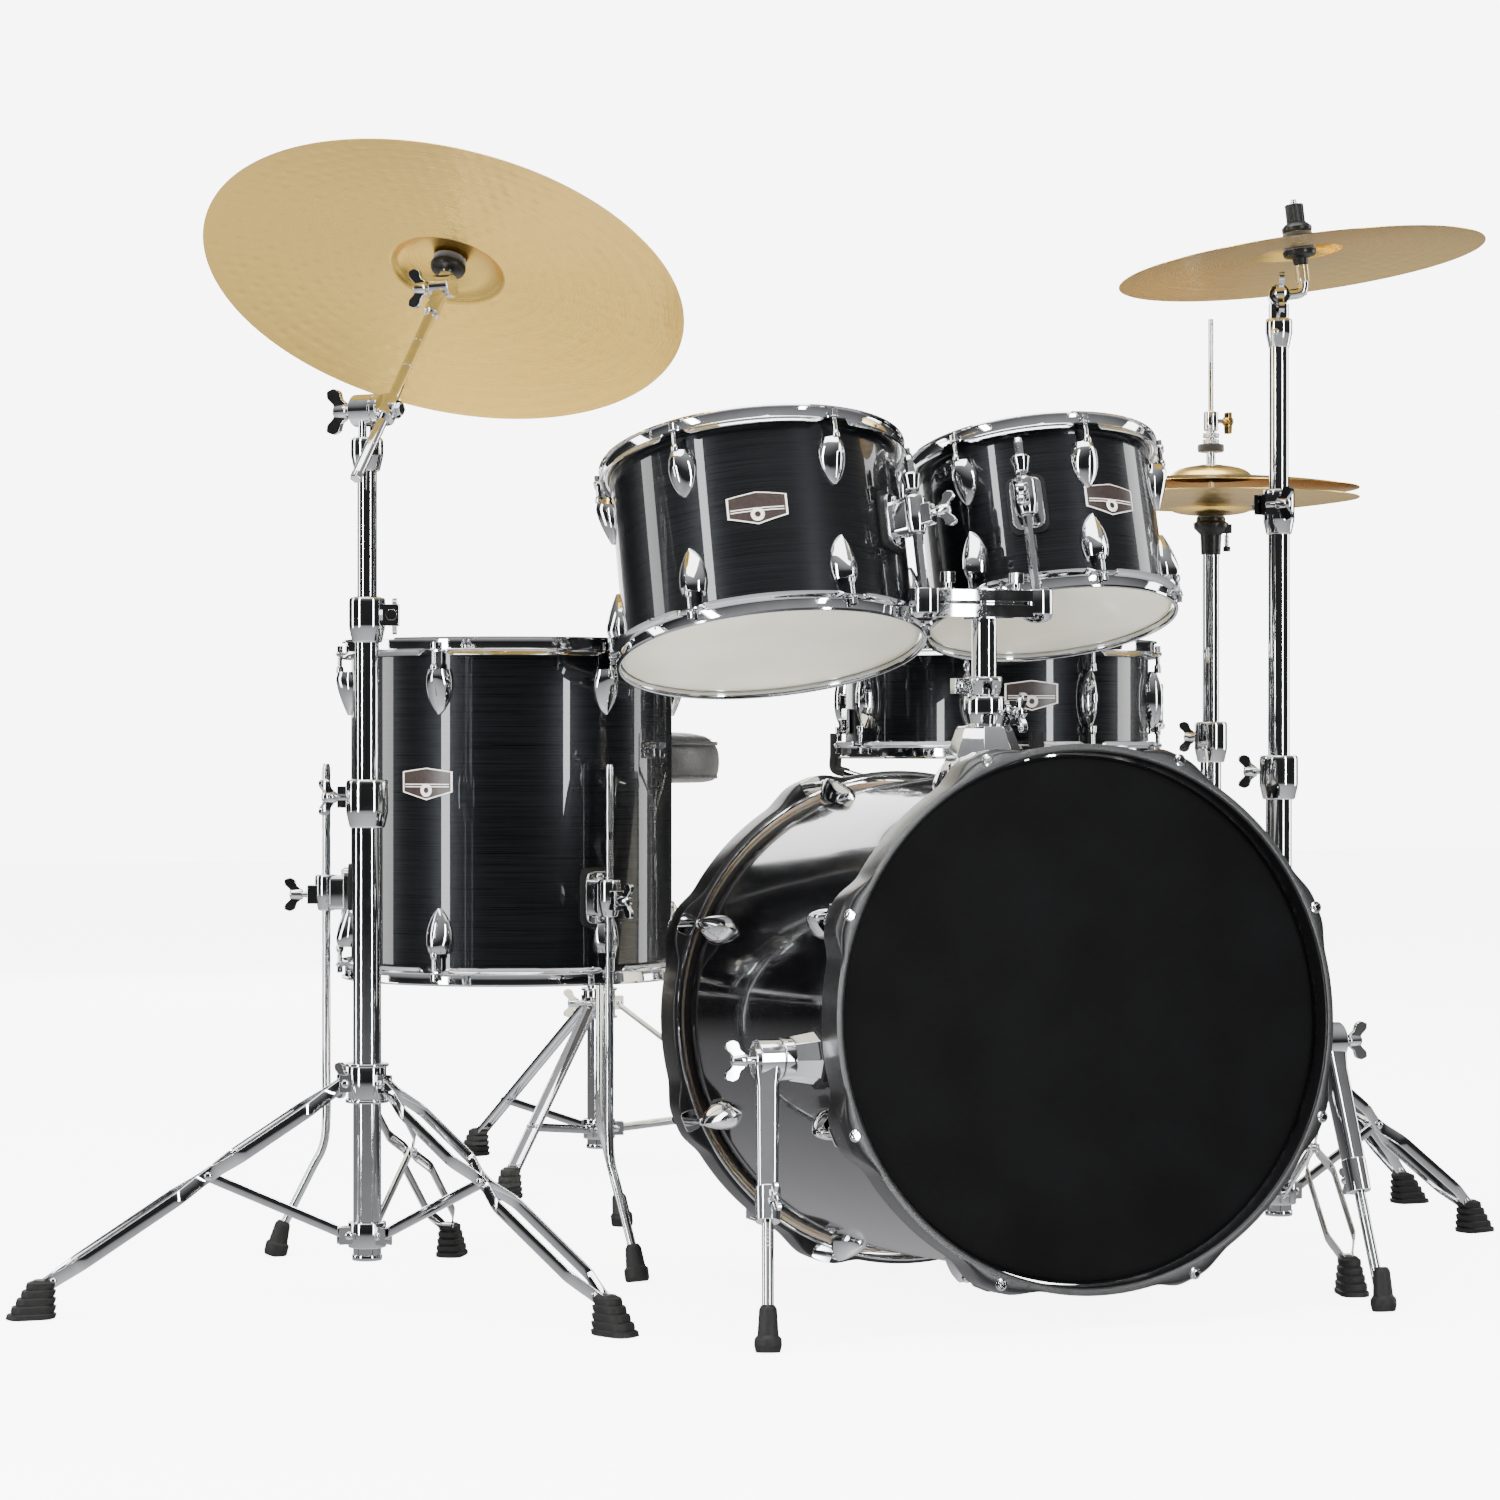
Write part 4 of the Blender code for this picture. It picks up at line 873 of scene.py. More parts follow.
def bass_hoop(end_radius, ear_angles):
    """A deep hoop with a rounded front edge, swelling outward into an ear at each tension screw."""
    half = BASS["depth"] / 2
    low, high = half - 0.020, half + BASS_HOOP_OVER_HEAD
    inner, outer = BASS["radius"] + 0.006, BASS["radius"] + BASS_HOOP_OUTER
    swell = 0.0115
    ear_half, blend = math.degrees(0.010 / end_radius), math.degrees(0.034 / end_radius)
    sections = []
    count = 320
    for k in range(count):
        degrees = 360 * k / count
        near = nearness(degrees, ear_angles, ear_half, blend)
        rim = outer + swell * near
        outline = [(inner, low), (rim, low), (rim, high - 0.010 * near), (rim - 0.0045 * near, high),
                   (inner, high)]
        section = eased(outline, 0.0026, 3, closed=True)
        sections.append([polar(r, degrees, z) for r, z in section])
    return lofted(sections, closed=True)


def bass_end(label, flip, film, lug_angles, place):
    """A hoop with its screws, the lugs under it, and the head."""
    radius, half = BASS["radius"], BASS["depth"] / 2
    end = place @ Matrix.Rotation(math.pi, 4, "Y") if flip else place
    piece(f"bass_{label}_rim", [bass_hoop(radius, lug_angles)], "satin", "root",
          (f"bass_{label}_hoop",), end, sharp=50)
    lugs, rods = [], []
    offset = BASS_ROD_OFFSET
    low, high = half - BASS_LUG_FROM_EDGE, half + BASS_HOOP_OVER_HEAD
    for degrees in lug_angles:
        seat = on_wall(radius, degrees, low)
        lugs += [moved(teardrop_lug(*BASS_LUG), seat), moved(swivel_nut(0.008, offset), seat)]
        stem = turned([(0, low), (0.0030, low), (0.0030, half), (0, half)], 16)
        face = [disc(0.0060, high - 0.0004, high + 0.0012, 0.0004, 24),
                *square_head(high, high + 0.0045, 0.0056)]
        claw = slab(oblong(0.016, 0.022, 0.004, 3), half - 0.0225, half - 0.0195)
        rods += placed([stem, *face, claw], on_wall(radius + offset, degrees))
    chrome_piece(f"bass_{label}_lugs", lugs, "root", place=end, bevel=0.0004, sharp=42)
    chrome_piece(f"bass_{label}_screws", rods, "root", place=end, bevel=0.0003)
    ring = disc(radius + 0.0105, half - 0.0240, half - 0.0202, 0.0012, 160, hole=radius + 0.0062)
    chrome_piece(f"bass_{label}_flesh_ring", [ring], "root", place=end, bevel=0.0)
    piece(f"bass_{label}_film", [head_film(radius, BASS["depth"])], film, "root",
          (f"bass_{label}_head",), end)


def bass_drum():
    place = bass_place()
    radius, depth = BASS["radius"], BASS["depth"]
    piece("bass_skin", [shell_ring(radius, depth)], "gloss", "root", ("bass_shell",), place)
    piece("bass_lining", [shell_lining(radius, depth)], "wood", "root", place=place)
    lug_angles = [22.5 + 45 * k for k in range(8)]
    bass_end("front", False, "front_film", lug_angles, place)
    bass_end("rear", True, "film", lug_angles, place)
    for label, side in (("left", -1), ("right", 1)):
        spur(label, side)


def spur(label, side):
    """A folding spur: bracket and gasket on the shell, then hub, sleeve, inner leg, memory clip and tip."""
    pivot = pivot_of(f"spur_{label}_fold")
    tip = SPUR_TIPS[label]
    outward = Vector((side, 0, 0))
    root = Vector((side * (BASS["radius"] - 0.006), pivot.y, pivot.z))
    gasket = [rod(root, root + outward * 0.012, 0.0305, sides=8)]
    piece(f"spur_{label}_gasket", gasket, "rubber", "root")
    bracket = [rod(root, pivot - outward * 0.004, 0.0275, 0.0215, sides=8),
               rod(pivot - outward * 0.006, pivot + outward * 0.006, 0.0205, sides=48)]
    chrome_piece(f"spur_{label}_bracket", bracket, "root", bevel=0.0012)
    hub = pivot + outward * 0.0063
    middle = hub + outward * 0.012
    run = tip - middle
    down = run.normalized()
    knee = middle + run * 0.55
    sleeve = [
        rod(hub, hub + outward * 0.024, 0.0195, sides=48),
        rod(hub + outward * 0.022, hub + outward * 0.027, 0.013, sides=32),
        swept([middle + down * 0.006, middle + down * 0.030, knee - down * 0.02, knee],
              oblong(0.021, 0.021, 0.006, 4), sizes=[1.35, 1.05, 0.95, 0.90]),
        rod(knee - down * 0.030, knee + down * 0.004, 0.0125, 0.0118, sides=32),
    ]
    sleeve += placed(wing_bolt(0.016, 1.05), along(hub + outward * 0.024, outward))
    back = down.cross(outward).normalized()
    sleeve += placed(wing_bolt(0.010, 0.75), along(knee - down * 0.014 - back * 0.010, -back))
    leg = [rod(knee - down * 0.05, tip - down * 0.014, 0.0056, sides=28)]
    for k in range(5):
        at = knee + down * (0.012 + 0.004 * k)
        leg.append(rod(at, at + down * 0.002, 0.0060, sides=28))
    chrome_piece(f"spur_{label}_leg", sleeve + leg, f"spur_{label}", (f"spur_{label}",))
    outline = eased([(0, 0), (0.0115, 0), (0.0132, 0.007), (0.0128, 0.013), (0.0100, 0.016), (0.0085, 0.040),
                     (0.0062, 0.044), (0, 0.044)], 0.0012, 3)
    lean = along(tip, UP * 0.7 - down * 0.3)
    piece(f"spur_{label}_tip", [moved(turned(outline, 36), lean)], "rubber", f"spur_{label}")


# ---------------------------------------------------------------- tom mount and toms
def tom_place(tom):
    return Matrix.Translation(tom["centre"]) @ Matrix.Rotation(-TOM_TILT, 4, "X")


def tom_arm(tom):
    """The L-rod's ends: its ball in the holder and its tip above the drum's bracket."""
    place = tom_place(tom)
    axis = place.to_3x3() @ UP
    beside = place @ polar(tom["radius"] + TOM_ARM_OFFSET, tom["arm_angle"])
    return beside - axis * ((beside.z - HOLDER_Z) / axis.z), beside + axis * 0.065


def ridged_rod(start, end, radius, sides, pitch=0.0016, depth=0.00035):
    """A bar with fine turned ridges all along it."""
    run = end - start
    count = int(run.length / pitch)
    outline = [(0, 0)]
    for k in range(count):
        outline += [(radius, pitch * k), (radius, pitch * (k + 0.55)),
                    (radius - depth, pitch * (k + 0.65)), (radius - depth, pitch * (k + 0.9))]
    outline += [(radius - depth, run.length), (0, run.length)]
    return moved(turned(outline, sides), along(start, run))


def rod_bracket(name, radius, offset, degrees, z, body, place, bore=0.0066):
    """A cast bracket on a shell: gasket, base, a sleeve round the rod, its eye bolt and wing."""
    wall = on_wall(radius, degrees, z)
    upright = wall @ Matrix.Rotation(math.pi / 2, 4, "Y")
    gasket = moved(slab(oblong(0.064, 0.042, 0.012, 5), -0.0025, 0.0030), upright)
    piece(f"{name}_gasket", [gasket], "rubber", body, place=place, bevel=0.0006)
    base = slab(oblong(0.056, 0.034, 0.011, 5), 0.0, 0.0085)
    boss = slab(oblong(0.038, 0.024, 0.006, 4), 0.0080, offset - 0.004)
    sleeve = moved(barrel(0.0125, -0.020, 0.020, bore), Matrix.Translation((offset, 0, 0)))
    cheek = bar((offset + 0.004, -0.0065, -0.0125), (offset + 0.021, 0.0065, 0.0085))
    shapes = [moved(base, upright), moved(boss, upright), moved(sleeve, wall), moved(cheek, wall)]
    bolt = wall @ along((offset + 0.020, 0, -0.002), (1, 0, 0))
    shapes += placed(wing_bolt(0.012, 1.0), bolt)
    for end in (-1, 1):
        screw = wall @ along((0.0085, 0, end * 0.0225), (1, 0, 0))
        shapes.append(screw_head(0.0042, 0.0026, screw))
    chrome_piece(f"{name}_bracket", shapes, body, place=place, bevel=0.0009)


def mounted_tom(name, tom, badge_angle):
    place = tom_place(tom)
    angles = [tom["arm_angle"] + 30 + 60 * k for k in range(6)]
    two_headed_drum(name, tom, angles, name, place, badge_angle)
    rod_bracket(name, tom["radius"], TOM_ARM_OFFSET, tom["arm_angle"], 0.0, name, place)
    ball, tip = tom_arm(tom)
    axis = (tip - ball).normalized()
    ball_shape = turned([(0, -0.0115), (0.0045, -0.0106), (0.0082, -0.0081), (0.0106, -0.0044), (0.0115, 0),
                         (0.0106, 0.0044), (0.0082, 0.0081), (0.0056, 0.0102), (0, 0.0115)], 40)
    arm = [moved(ball_shape, along(ball, axis)),
           ridged_rod(ball + axis * 0.006, tip - axis * 0.004, L_ROD_RADIUS, 6),
           rod(tip - axis * 0.006, tip, 0.0054, 0.0042)]
    lock = moved(barrel(0.0105, -0.008, 0.010, 0.0058), along(tip - axis * 0.030, axis))
    chrome_piece(f"{name}_arm_bar", arm, f"{name}_arm", (f"{name}_rod",), bevel=0.0)
    chrome_piece(f"{name}_arm_lock", [lock], name, bevel=0.0006)


def shell_top(x, y):
    place = bass_place()
    centre = place.translation
    rise = math.sqrt(BASS["radius"] ** 2 - x ** 2)
    reach = (centre.y + rise * math.sin(BASS_TILT) - y) / math.cos(BASS_TILT)
    return centre.z + rise * math.cos(BASS_TILT) + reach * math.sin(BASS_TILT)


def saddle(scale, low, high, sides=40, power=4):
    """A plate bent to the bass shell, with a squarish plan."""
    def plan(a):
        c, s = math.cos(a), math.sin(a)
        return scale / (abs(c) ** power + abs(s) ** power) ** (1 / power)

    sections = []
    levels = ((0.02, low), (0.98, low), (1.0, low + 0.001), (1.0, high - 0.001), (0.97, high), (0.02, high))
    for share, lift in levels:
        ring = []
        for k in range(sides):
            a = 2 * math.pi * k / sides
            x, y = share * plan(a) * math.cos(a), MOUNT_AT.y + share * plan(a) * math.sin(a)
            ring.append(Vector((x, y, shell_top(x, y) + lift)))
        sections.append(ring)
    return lofted(sections)


def tom_mount():
    """The faceted receiver on the shell, and the post with its two ball clamps."""
    top = shell_top(0, MOUNT_AT.y)
    piece("mount_gasket", [saddle(0.050, -0.001, 0.0022)], "rubber", "root")
    levels = ((0.0460, 0.0030, False), (0.0455, 0.0060, False),
              (0.0300, 0.0440, True), (0.0270, 0.0470, True))
    sections = []
    for reach, lift, level in levels:
        ring = []
        for k in range(8):
            a = math.radians(22.5 + 45 * k)
            x, y = reach * math.cos(a), MOUNT_AT.y + reach * 0.92 * math.sin(a)
            ring.append(Vector((x, y, (top if level else shell_top(x, y)) + lift)))
        sections.append(ring)
    receiver = [lofted(sections), moved(barrel(0.0210, top + 0.044, top + 0.078, 0.0142),
                                        Matrix.Translation(MOUNT_AT))]
    lug = [bar((0.016, -0.0085, top + 0.048), (0.038, -0.0020, top + 0.074)),
           bar((0.016, 0.0020, top + 0.048), (0.038, 0.0085, top + 0.074))]
    receiver += placed(lug, Matrix.Translation(MOUNT_AT))
    bolt_at = MOUNT_AT + Vector((0.029, -0.0085, top + 0.061))
    receiver += placed(wing_bolt(0.014, 1.1), along(bolt_at, (0, -1, 0)))
    for x in (-0.036, 0.036):
        spot = Vector((x, MOUNT_AT.y - 0.024, shell_top(x, MOUNT_AT.y - 0.024) + 0.006))
        receiver.append(screw_head(0.0050, 0.0035, along(spot, Vector((x * 8, -0.4, 1)))))
    chrome_piece("mount_receiver", receiver, "root", ("tom_mount_base",), bevel=0.0012, sharp=25)

    left, right = tom_arm(LEFT_TOM)[0], tom_arm(RIGHT_TOM)[0]
    bar_y = (left.y + right.y) / 2
    post = [moved(tube(POST_RADIUS, top - 0.045, HOLDER_Z - 0.012, sides=48), Matrix.Translation(MOUNT_AT))]
    lock = moved(barrel(0.0190, top + 0.0785, top + 0.0985, 0.0131), Matrix.Translation(MOUNT_AT))
    ear = bar((-0.036, MOUNT_AT.y - 0.0065, top + 0.0805), (-0.015, MOUNT_AT.y + 0.0065, top + 0.0965))
    screw = screw_head(0.0048, 0.003, along((-0.029, MOUNT_AT.y - 0.0065, top + 0.0885), (0, -1, 0)))
    chrome_piece("post_tube", post, "tom_post", ("tom_post",), bevel=0.0008)
    chrome_piece("post_lock", [lock, ear, screw], "root", bevel=0.0008)

    holder = []
    cap = oblong(0.034, 0.034, 0.006, 4)
    for low, high in ((HOLDER_Z - 0.0170, HOLDER_Z - 0.0040), (HOLDER_Z - 0.0005, HOLDER_Z + 0.0110)):
        plan = oblong(right.x - left.x, 0.0260, 0.004, 3)
        holder.append(moved(slab(plan, low, high), Matrix.Translation(((left.x + right.x) / 2, bar_y, 0))))
        middle = Matrix.Translation((MOUNT_AT.x, (MOUNT_AT.y + bar_y) / 2 + 0.002, 0))
        holder.append(moved(slab(oblong(0.040, 0.050, 0.007, 4), low - 0.001, high + 0.001), middle))
    holder.append(bar((left.x + 0.020, bar_y - 0.008, HOLDER_Z - 0.006),
                      (right.x - 0.018, bar_y + 0.008, HOLDER_Z)))
    for ball in (left, right):
        socket = [(0.0128, -0.0040), (0.0128, 0.0120), (0.0165, 0.0120), (0.0165, -0.0130), (0.0140, -0.0185),
                  (0.0070, -0.0215), (0, -0.0220)]
        floor = [(0, -0.0126), (0.0080, -0.0122), (0.0122, -0.0080)]
        cup = turned(eased(floor + socket, 0.0007, 2), 48)
        holder.append(moved(cup, Matrix.Translation(ball)))
    for x in (left.x + 0.024, right.x - 0.026):
        bolt = [rod((x, bar_y - 0.004, HOLDER_Z + 0.008), (x, bar_y - 0.004, HOLDER_Z + 0.019), 0.0042),
                slab(oblong(0.0125, 0.0125, 0.0016, 3), HOLDER_Z + 0.018, HOLDER_Z + 0.029),
                rod((x, bar_y - 0.004, HOLDER_Z + 0.011), (x, bar_y - 0.004, HOLDER_Z + 0.0125), 0.0075)]
        bolt[1] = moved(bolt[1], Matrix.Translation((x, bar_y - 0.004, 0)))
        holder += bolt
    holder.append(moved(slab(cap, HOLDER_Z + 0.0105, HOLDER_Z + 0.0135), Matrix.Translation(MOUNT_AT)))
    chrome_piece("post_holder", holder, "tom_post", bevel=0.0010)


# ---------------------------------------------------------------- floor tom
def floor_tom():
    place = Matrix.Translation(FLOOR_TOM["centre"])
    angles = [-13 + 60 * k for k in range(6)]
    two_headed_drum("floor_tom", FLOOR_TOM, angles, "root", place, (-138, 0.030))
    for label, degrees in LEG_ANGLES.items():
        rod_bracket(f"floor_tom_{label}", FLOOR_TOM["radius"], LEG_OFFSET, degrees, -0.0925, "root", place,
                    0.0053)
        floor_leg(label, degrees)


def floor_leg(label, degrees):
    axis = Vector((FLOOR_TOM["centre"].x, FLOOR_TOM["centre"].y, 0))
    out = FLOOR_TOM["radius"] + LEG_OFFSET
    foot = out + LEG_FOOT_SPREAD

    def at(radius, z):
        return axis + polar(radius, degrees, z)

    shapes = [rod(at(out, 0.538), at(out, 0.545), LEG_RADIUS, 0.0036)]
    bands = (0.538, 0.472, 0.466, 0.405, 0.399, 0.345, 0.339, 0.290)
    for top, bottom in zip(bands[::2], bands[1::2]):
        shapes.append(ridged_rod(at(out, bottom), at(out, top), LEG_RADIUS, 20, 0.0018, 0.0004))
    shapes.append(rod(at(out, 0.28), at(out, 0.54), 0.0043))
    lower = smooth_path([at(out, 0.290), at(out, 0.210), at(out, 0.150), at(out + 0.004, 0.120),
                         at(out + 0.016, 0.096), at(foot - 0.010, 0.028)], 6)
    shapes.append(swept(lower, circle(LEG_RADIUS, 20)))
    body = f"floor_leg_{label}"
    chrome_piece(f"{body}_bar", shapes, body, (body,), bevel=0.0, sharp=30)
    outline = eased([(0, 0), (0.0118, 0), (0.0130, 0.004), (0.0130, 0.014), (0.0105, 0.016), (0.0085, 0.036),
                     (0.0060, 0.040), (0, 0.040)], 0.001, 3)
    lean = along(at(foot - 0.003, 0.0), at(foot - 0.013, 0.05) - at(foot, 0.0))
    piece(f"{body}_rubber", [moved(turned(outline, 32), lean)], "rubber", body)


# ---------------------------------------------------------------- snare drum
def spindle_lug(length, width, height):
    """A lug pointed at both ends; its caller adds a waist collar at each end."""
    sections = []
    steps = 26
    for k in range(steps + 1):
        t = -1 + 2 * k / steps
        fall = 0.30 + 0.70 * (1 - abs(t) ** 2.2)
        half, top = width / 2 * fall, height * (0.55 + 0.45 * (1 - abs(t) ** 2.4))
        side = [(half, -0.001), (half, 0.25 * top), (half * 0.72, 0.68 * top), (half * 0.34, 0.93 * top)]
        section = side + [(0, top)] + [(-w, h) for w, h in reversed(side)]
        sections.append([Vector((h, w, length / 2 * t)) for w, h in section])
    return lofted(sections)


def snare_drum():
    radius, depth = SNARE["radius"], SNARE["depth"]
    half = depth / 2
    place = Matrix.Translation(SNARE["centre"])
    angles = [10 + 45 * k for k in range(8)]
    body = "snare_drum"
    piece("snare_wrap", [shell_ring(radius, depth)], "wrap", body, ("snare_shell",), place)
    piece("snare_lining", [shell_lining(radius, depth)], "wood", body, place=place)
    lugs = []
    for degrees in angles:
        wall = on_wall(radius, degrees)
        lugs.append(moved(spindle_lug(0.066, 0.020, 0.0185), wall))
        for end in (-1, 1):
            collar = spun([(0, 0), (0.0046, 0), (0.0040, 0.008), (0.0032, 0.010), (0, 0.010)], 0.0004, 2, 20)
            turn = Matrix() if end > 0 else upside_down()
            lugs.append(moved(collar, wall @ Matrix.Translation((ROD_OFFSET, 0, end * 0.031)) @ turn))
    chrome_piece("snare_lugs", lugs, body, place=place, bevel=0.0003, sharp=42)
    for label, flip, film in DRUM_ENDS:
        end = place @ upside_down() if flip else place
        drum_end("snare", label, SNARE, [-a for a in angles] if flip else angles, film, body, end,
                 rod_low=SNARE_ROD_LOW)
    add_badge("snare", radius, -102, 0.004, body, place)
    snare_fittings(radius, half, body, place)


def snare_fittings(radius, half, body, place):
    """The strainer and its lever, the butt plate, and the wires under the drum."""
    wall = on_wall(radius, STRAINER_ANGLE)
    plate = [bar((0.0005, -0.020, -0.040), (0.0040, 0.020, 0.030)),
             bar((0.004, -0.014, -0.038), (0.0150, 0.014, -0.006)),
             moved(disc(0.0075, 0, 0.010), along((0.004, 0, 0.016), (1, 0, 0)))]
    chrome_piece("strainer_plate", placed(plate, wall), body, place=place, bevel=0.0010)
    lever = [slab(oblong(0.020, 0.050, 0.004, 3), 0.0178, 0.0218)]
    lever = placed(lever, wall @ Matrix.Translation((0, 0, -0.005)) @ Matrix.Rotation(math.pi / 2, 4, "Y")
                   @ Matrix.Rotation(math.pi / 2, 4, "Z"))
    lever.append(moved(rod((0.020, -0.012, -0.030), (0.020, 0.012, -0.030), 0.0038), wall))
    chrome_piece("strainer_lever_arm", lever, "snare_strainer_lever", ("snare_strainer_lever",), place,
                 0.0009)
    butt_wall = on_wall(radius, STRAINER_ANGLE + 180)
    butt = [bar((0.0005, -0.017, -0.040), (0.0045, 0.017, -0.010)),
            bar((0.0045, -0.010, -0.037), (0.0095, 0.010, -0.022))]
    chrome_piece("butt_plate", placed(butt, butt_wall), body, place=place, bevel=0.0010)
    wires = []
    low = -half - 0.0034
    span = 0.150
    turn = about_z(STRAINER_ANGLE)
    count, pitch, ripples = 20, 0.0020, 120
    ripple = [(0, -span)]
    for k in range(ripples):
        z = -span + 2 * span * k / ripples
        ripple += [(0.00095, z), (0.00060, z + span / ripples)]
    ripple += [(0, span)]
    strand = moved(turned(ripple, 6), Matrix.Rotation(math.pi / 2, 4, "Y"))
    for k in range(count):
        wires.append(moved(strand, turn @ Matrix.Translation((0, (k - (count - 1) / 2) * pitch, low))))
    for side in (-1, 1):
        wires.append(moved(bar((-0.008, -0.023, -0.0004), (0.008, 0.023, 0.0004)),
                           turn @ Matrix.Translation((side * (span + 0.004), 0, low))))
    piece("snare_wires", wires, "steel", body, place=place)


def snare_stand():
    at = SNARE_STAND
    tripod("snare", 0.330)
    neck = Vector((at.x, at.y, SNARE_NECK_Z))
    hinge = Vector((SNARE["centre"].x, SNARE["centre"].y, SNARE_TILT_Z))
    offset = hinge - neck
    offset.z = 0
    upper = [rod(Vector((at.x, at.y, 0.230)), neck, 0.0095, sides=40),
             swept([neck - UP * 0.010, neck - UP * 0.010 + offset], oblong(0.020, 0.016, 0.004)),
             rod(neck - UP * 0.030, neck + UP * 0.001, 0.0135, sides=40),
             rod(hinge - UP * 0.048, hinge - UP * 0.016, 0.011, 0.008, sides=32)]
    upper += placed(wing_bolt(0.012, 1.0), along(hinge + Vector((-0.011, 0, -0.034)), (-1, 0, 0)))
    chrome_piece("snare_stand_neck", upper, "snare_stand_tube", ("snare_stand_tube",))
    rim = SNARE["centre"].z - SNARE["depth"] / 2 - HOOP_OVER_HEAD
    floor = Vector((hinge.x, hinge.y, 0))
    basket = [rod(hinge - UP * 0.012, hinge + UP * 0.006, 0.006, 0.014, sides=32),
              rod(hinge, hinge + UP * 0.050, 0.015, sides=40),
              rod(hinge + UP * 0.018, hinge + UP * 0.026, 0.0175, sides=40)]
    grips = []
    for degrees in BASKET_ANGLES:
        elbow = floor + polar(BASKET_REACH, degrees, rim - 0.014)
        start = floor + polar(0.010, degrees, hinge.z + 0.036)
        arm = [start, start.lerp(elbow, 0.5), start.lerp(elbow, 0.97)]
        basket.append(swept(arm, oblong(0.015, 0.0075, 0.002)))
        pin = Matrix.Translation(start + polar(0.012, degrees)) @ about_z(degrees)
        basket.append(moved(rod((0, -0.010, 0), (0, 0.010, 0), 0.0045), pin))
        hook = smooth_path([start.lerp(elbow, 0.93), elbow + UP * 0.002,
                            elbow + UP * 0.020, elbow + UP * 0.044], 6)
        grips.append(swept(hook, oblong(0.017, 0.011, 0.004, 3), side=polar(1, degrees + 90)))
    chrome_piece("basket_arms", basket, "snare_drum", ("snare_basket",))
    piece("basket_grips", grips, "rubber", "snare_drum")


# ---------------------------------------------------------------- tripods
def rubber_foot(spread, degrees, width=0.030, length=0.048, height=0.038):
    """A ribbed boot on a tripod's leg, flat underneath."""
    sections = []
    ribs = 5
    levels = [(0.0, 0.90)]
    for k in range(ribs):
        low = k / ribs
        levels += [(low + 0.02, 1.0 - 0.52 * low), (low + 0.13, 1.0 - 0.52 * low),
                   (low + 0.165, 0.86 - 0.52 * low)]
    levels += [(0.96, 0.42), (1.0, 0.34)]
    for share, size in levels:
        z = height * share
        lean = -0.012 * share
        ring = oblong(length * size, width * (0.35 + 0.65 * size), 0.45 * width * (0.35 + 0.65 * size), 5)
        sections.append([Vector((spread - 0.005 + lean + x, y, z)) for x, y in ring])
    return moved(lofted(sections), about_z(degrees))


def paired_leg(root, ankle, elbow_share, lateral, half_gap=0.0145):
    """Two flat strips pinched together at the collar, the elbow and the foot, and bowed apart between."""
    shares = [0, 0.05, 0.13, elbow_share - 0.10, elbow_share - 0.02, elbow_share + 0.02, elbow_share + 0.10,
              0.86, 0.95, 1.0]
    gaps = [0.30, 0.34, 1.0, 1.0, 0.22, 0.22, 1.0, 1.0, 0.34, 0.26]
    strips = []
    for side in (-1, 1):
        path = [root.lerp(ankle, s) + lateral * (side * half_gap * g) for s, g in zip(shares, gaps)]
        strips.append(swept(eased(path, 0.006, 3), oblong(0.0018, 0.013, 0.0005), side=lateral))
    return strips


def single_leg(root, ankle, lateral):
    """One channel-section bar, folded at its top."""
    path = [root, root.lerp(ankle, 0.5), ankle]
    web = swept(path, oblong(0.0165, 0.0016, 0.0004), side=lateral)
    flanges = []
    for side in (-1, 1):
        shifted = [p + lateral * (side * 0.0075) - UP * 0.0028 for p in path]
        flanges.append(swept(shifted, oblong(0.0016, 0.0070, 0.0004), side=lateral))
    return [web, *flanges]


def rivet(at, lateral, half, radius=0.0042):
    body = rod(at - lateral * half, at + lateral * half, radius * 0.7, sides=16)
    heads = [screw_head(radius, 0.0018, along(at + lateral * (s * half), lateral * s)) for s in (-1, 1)]
    return [body, *heads]


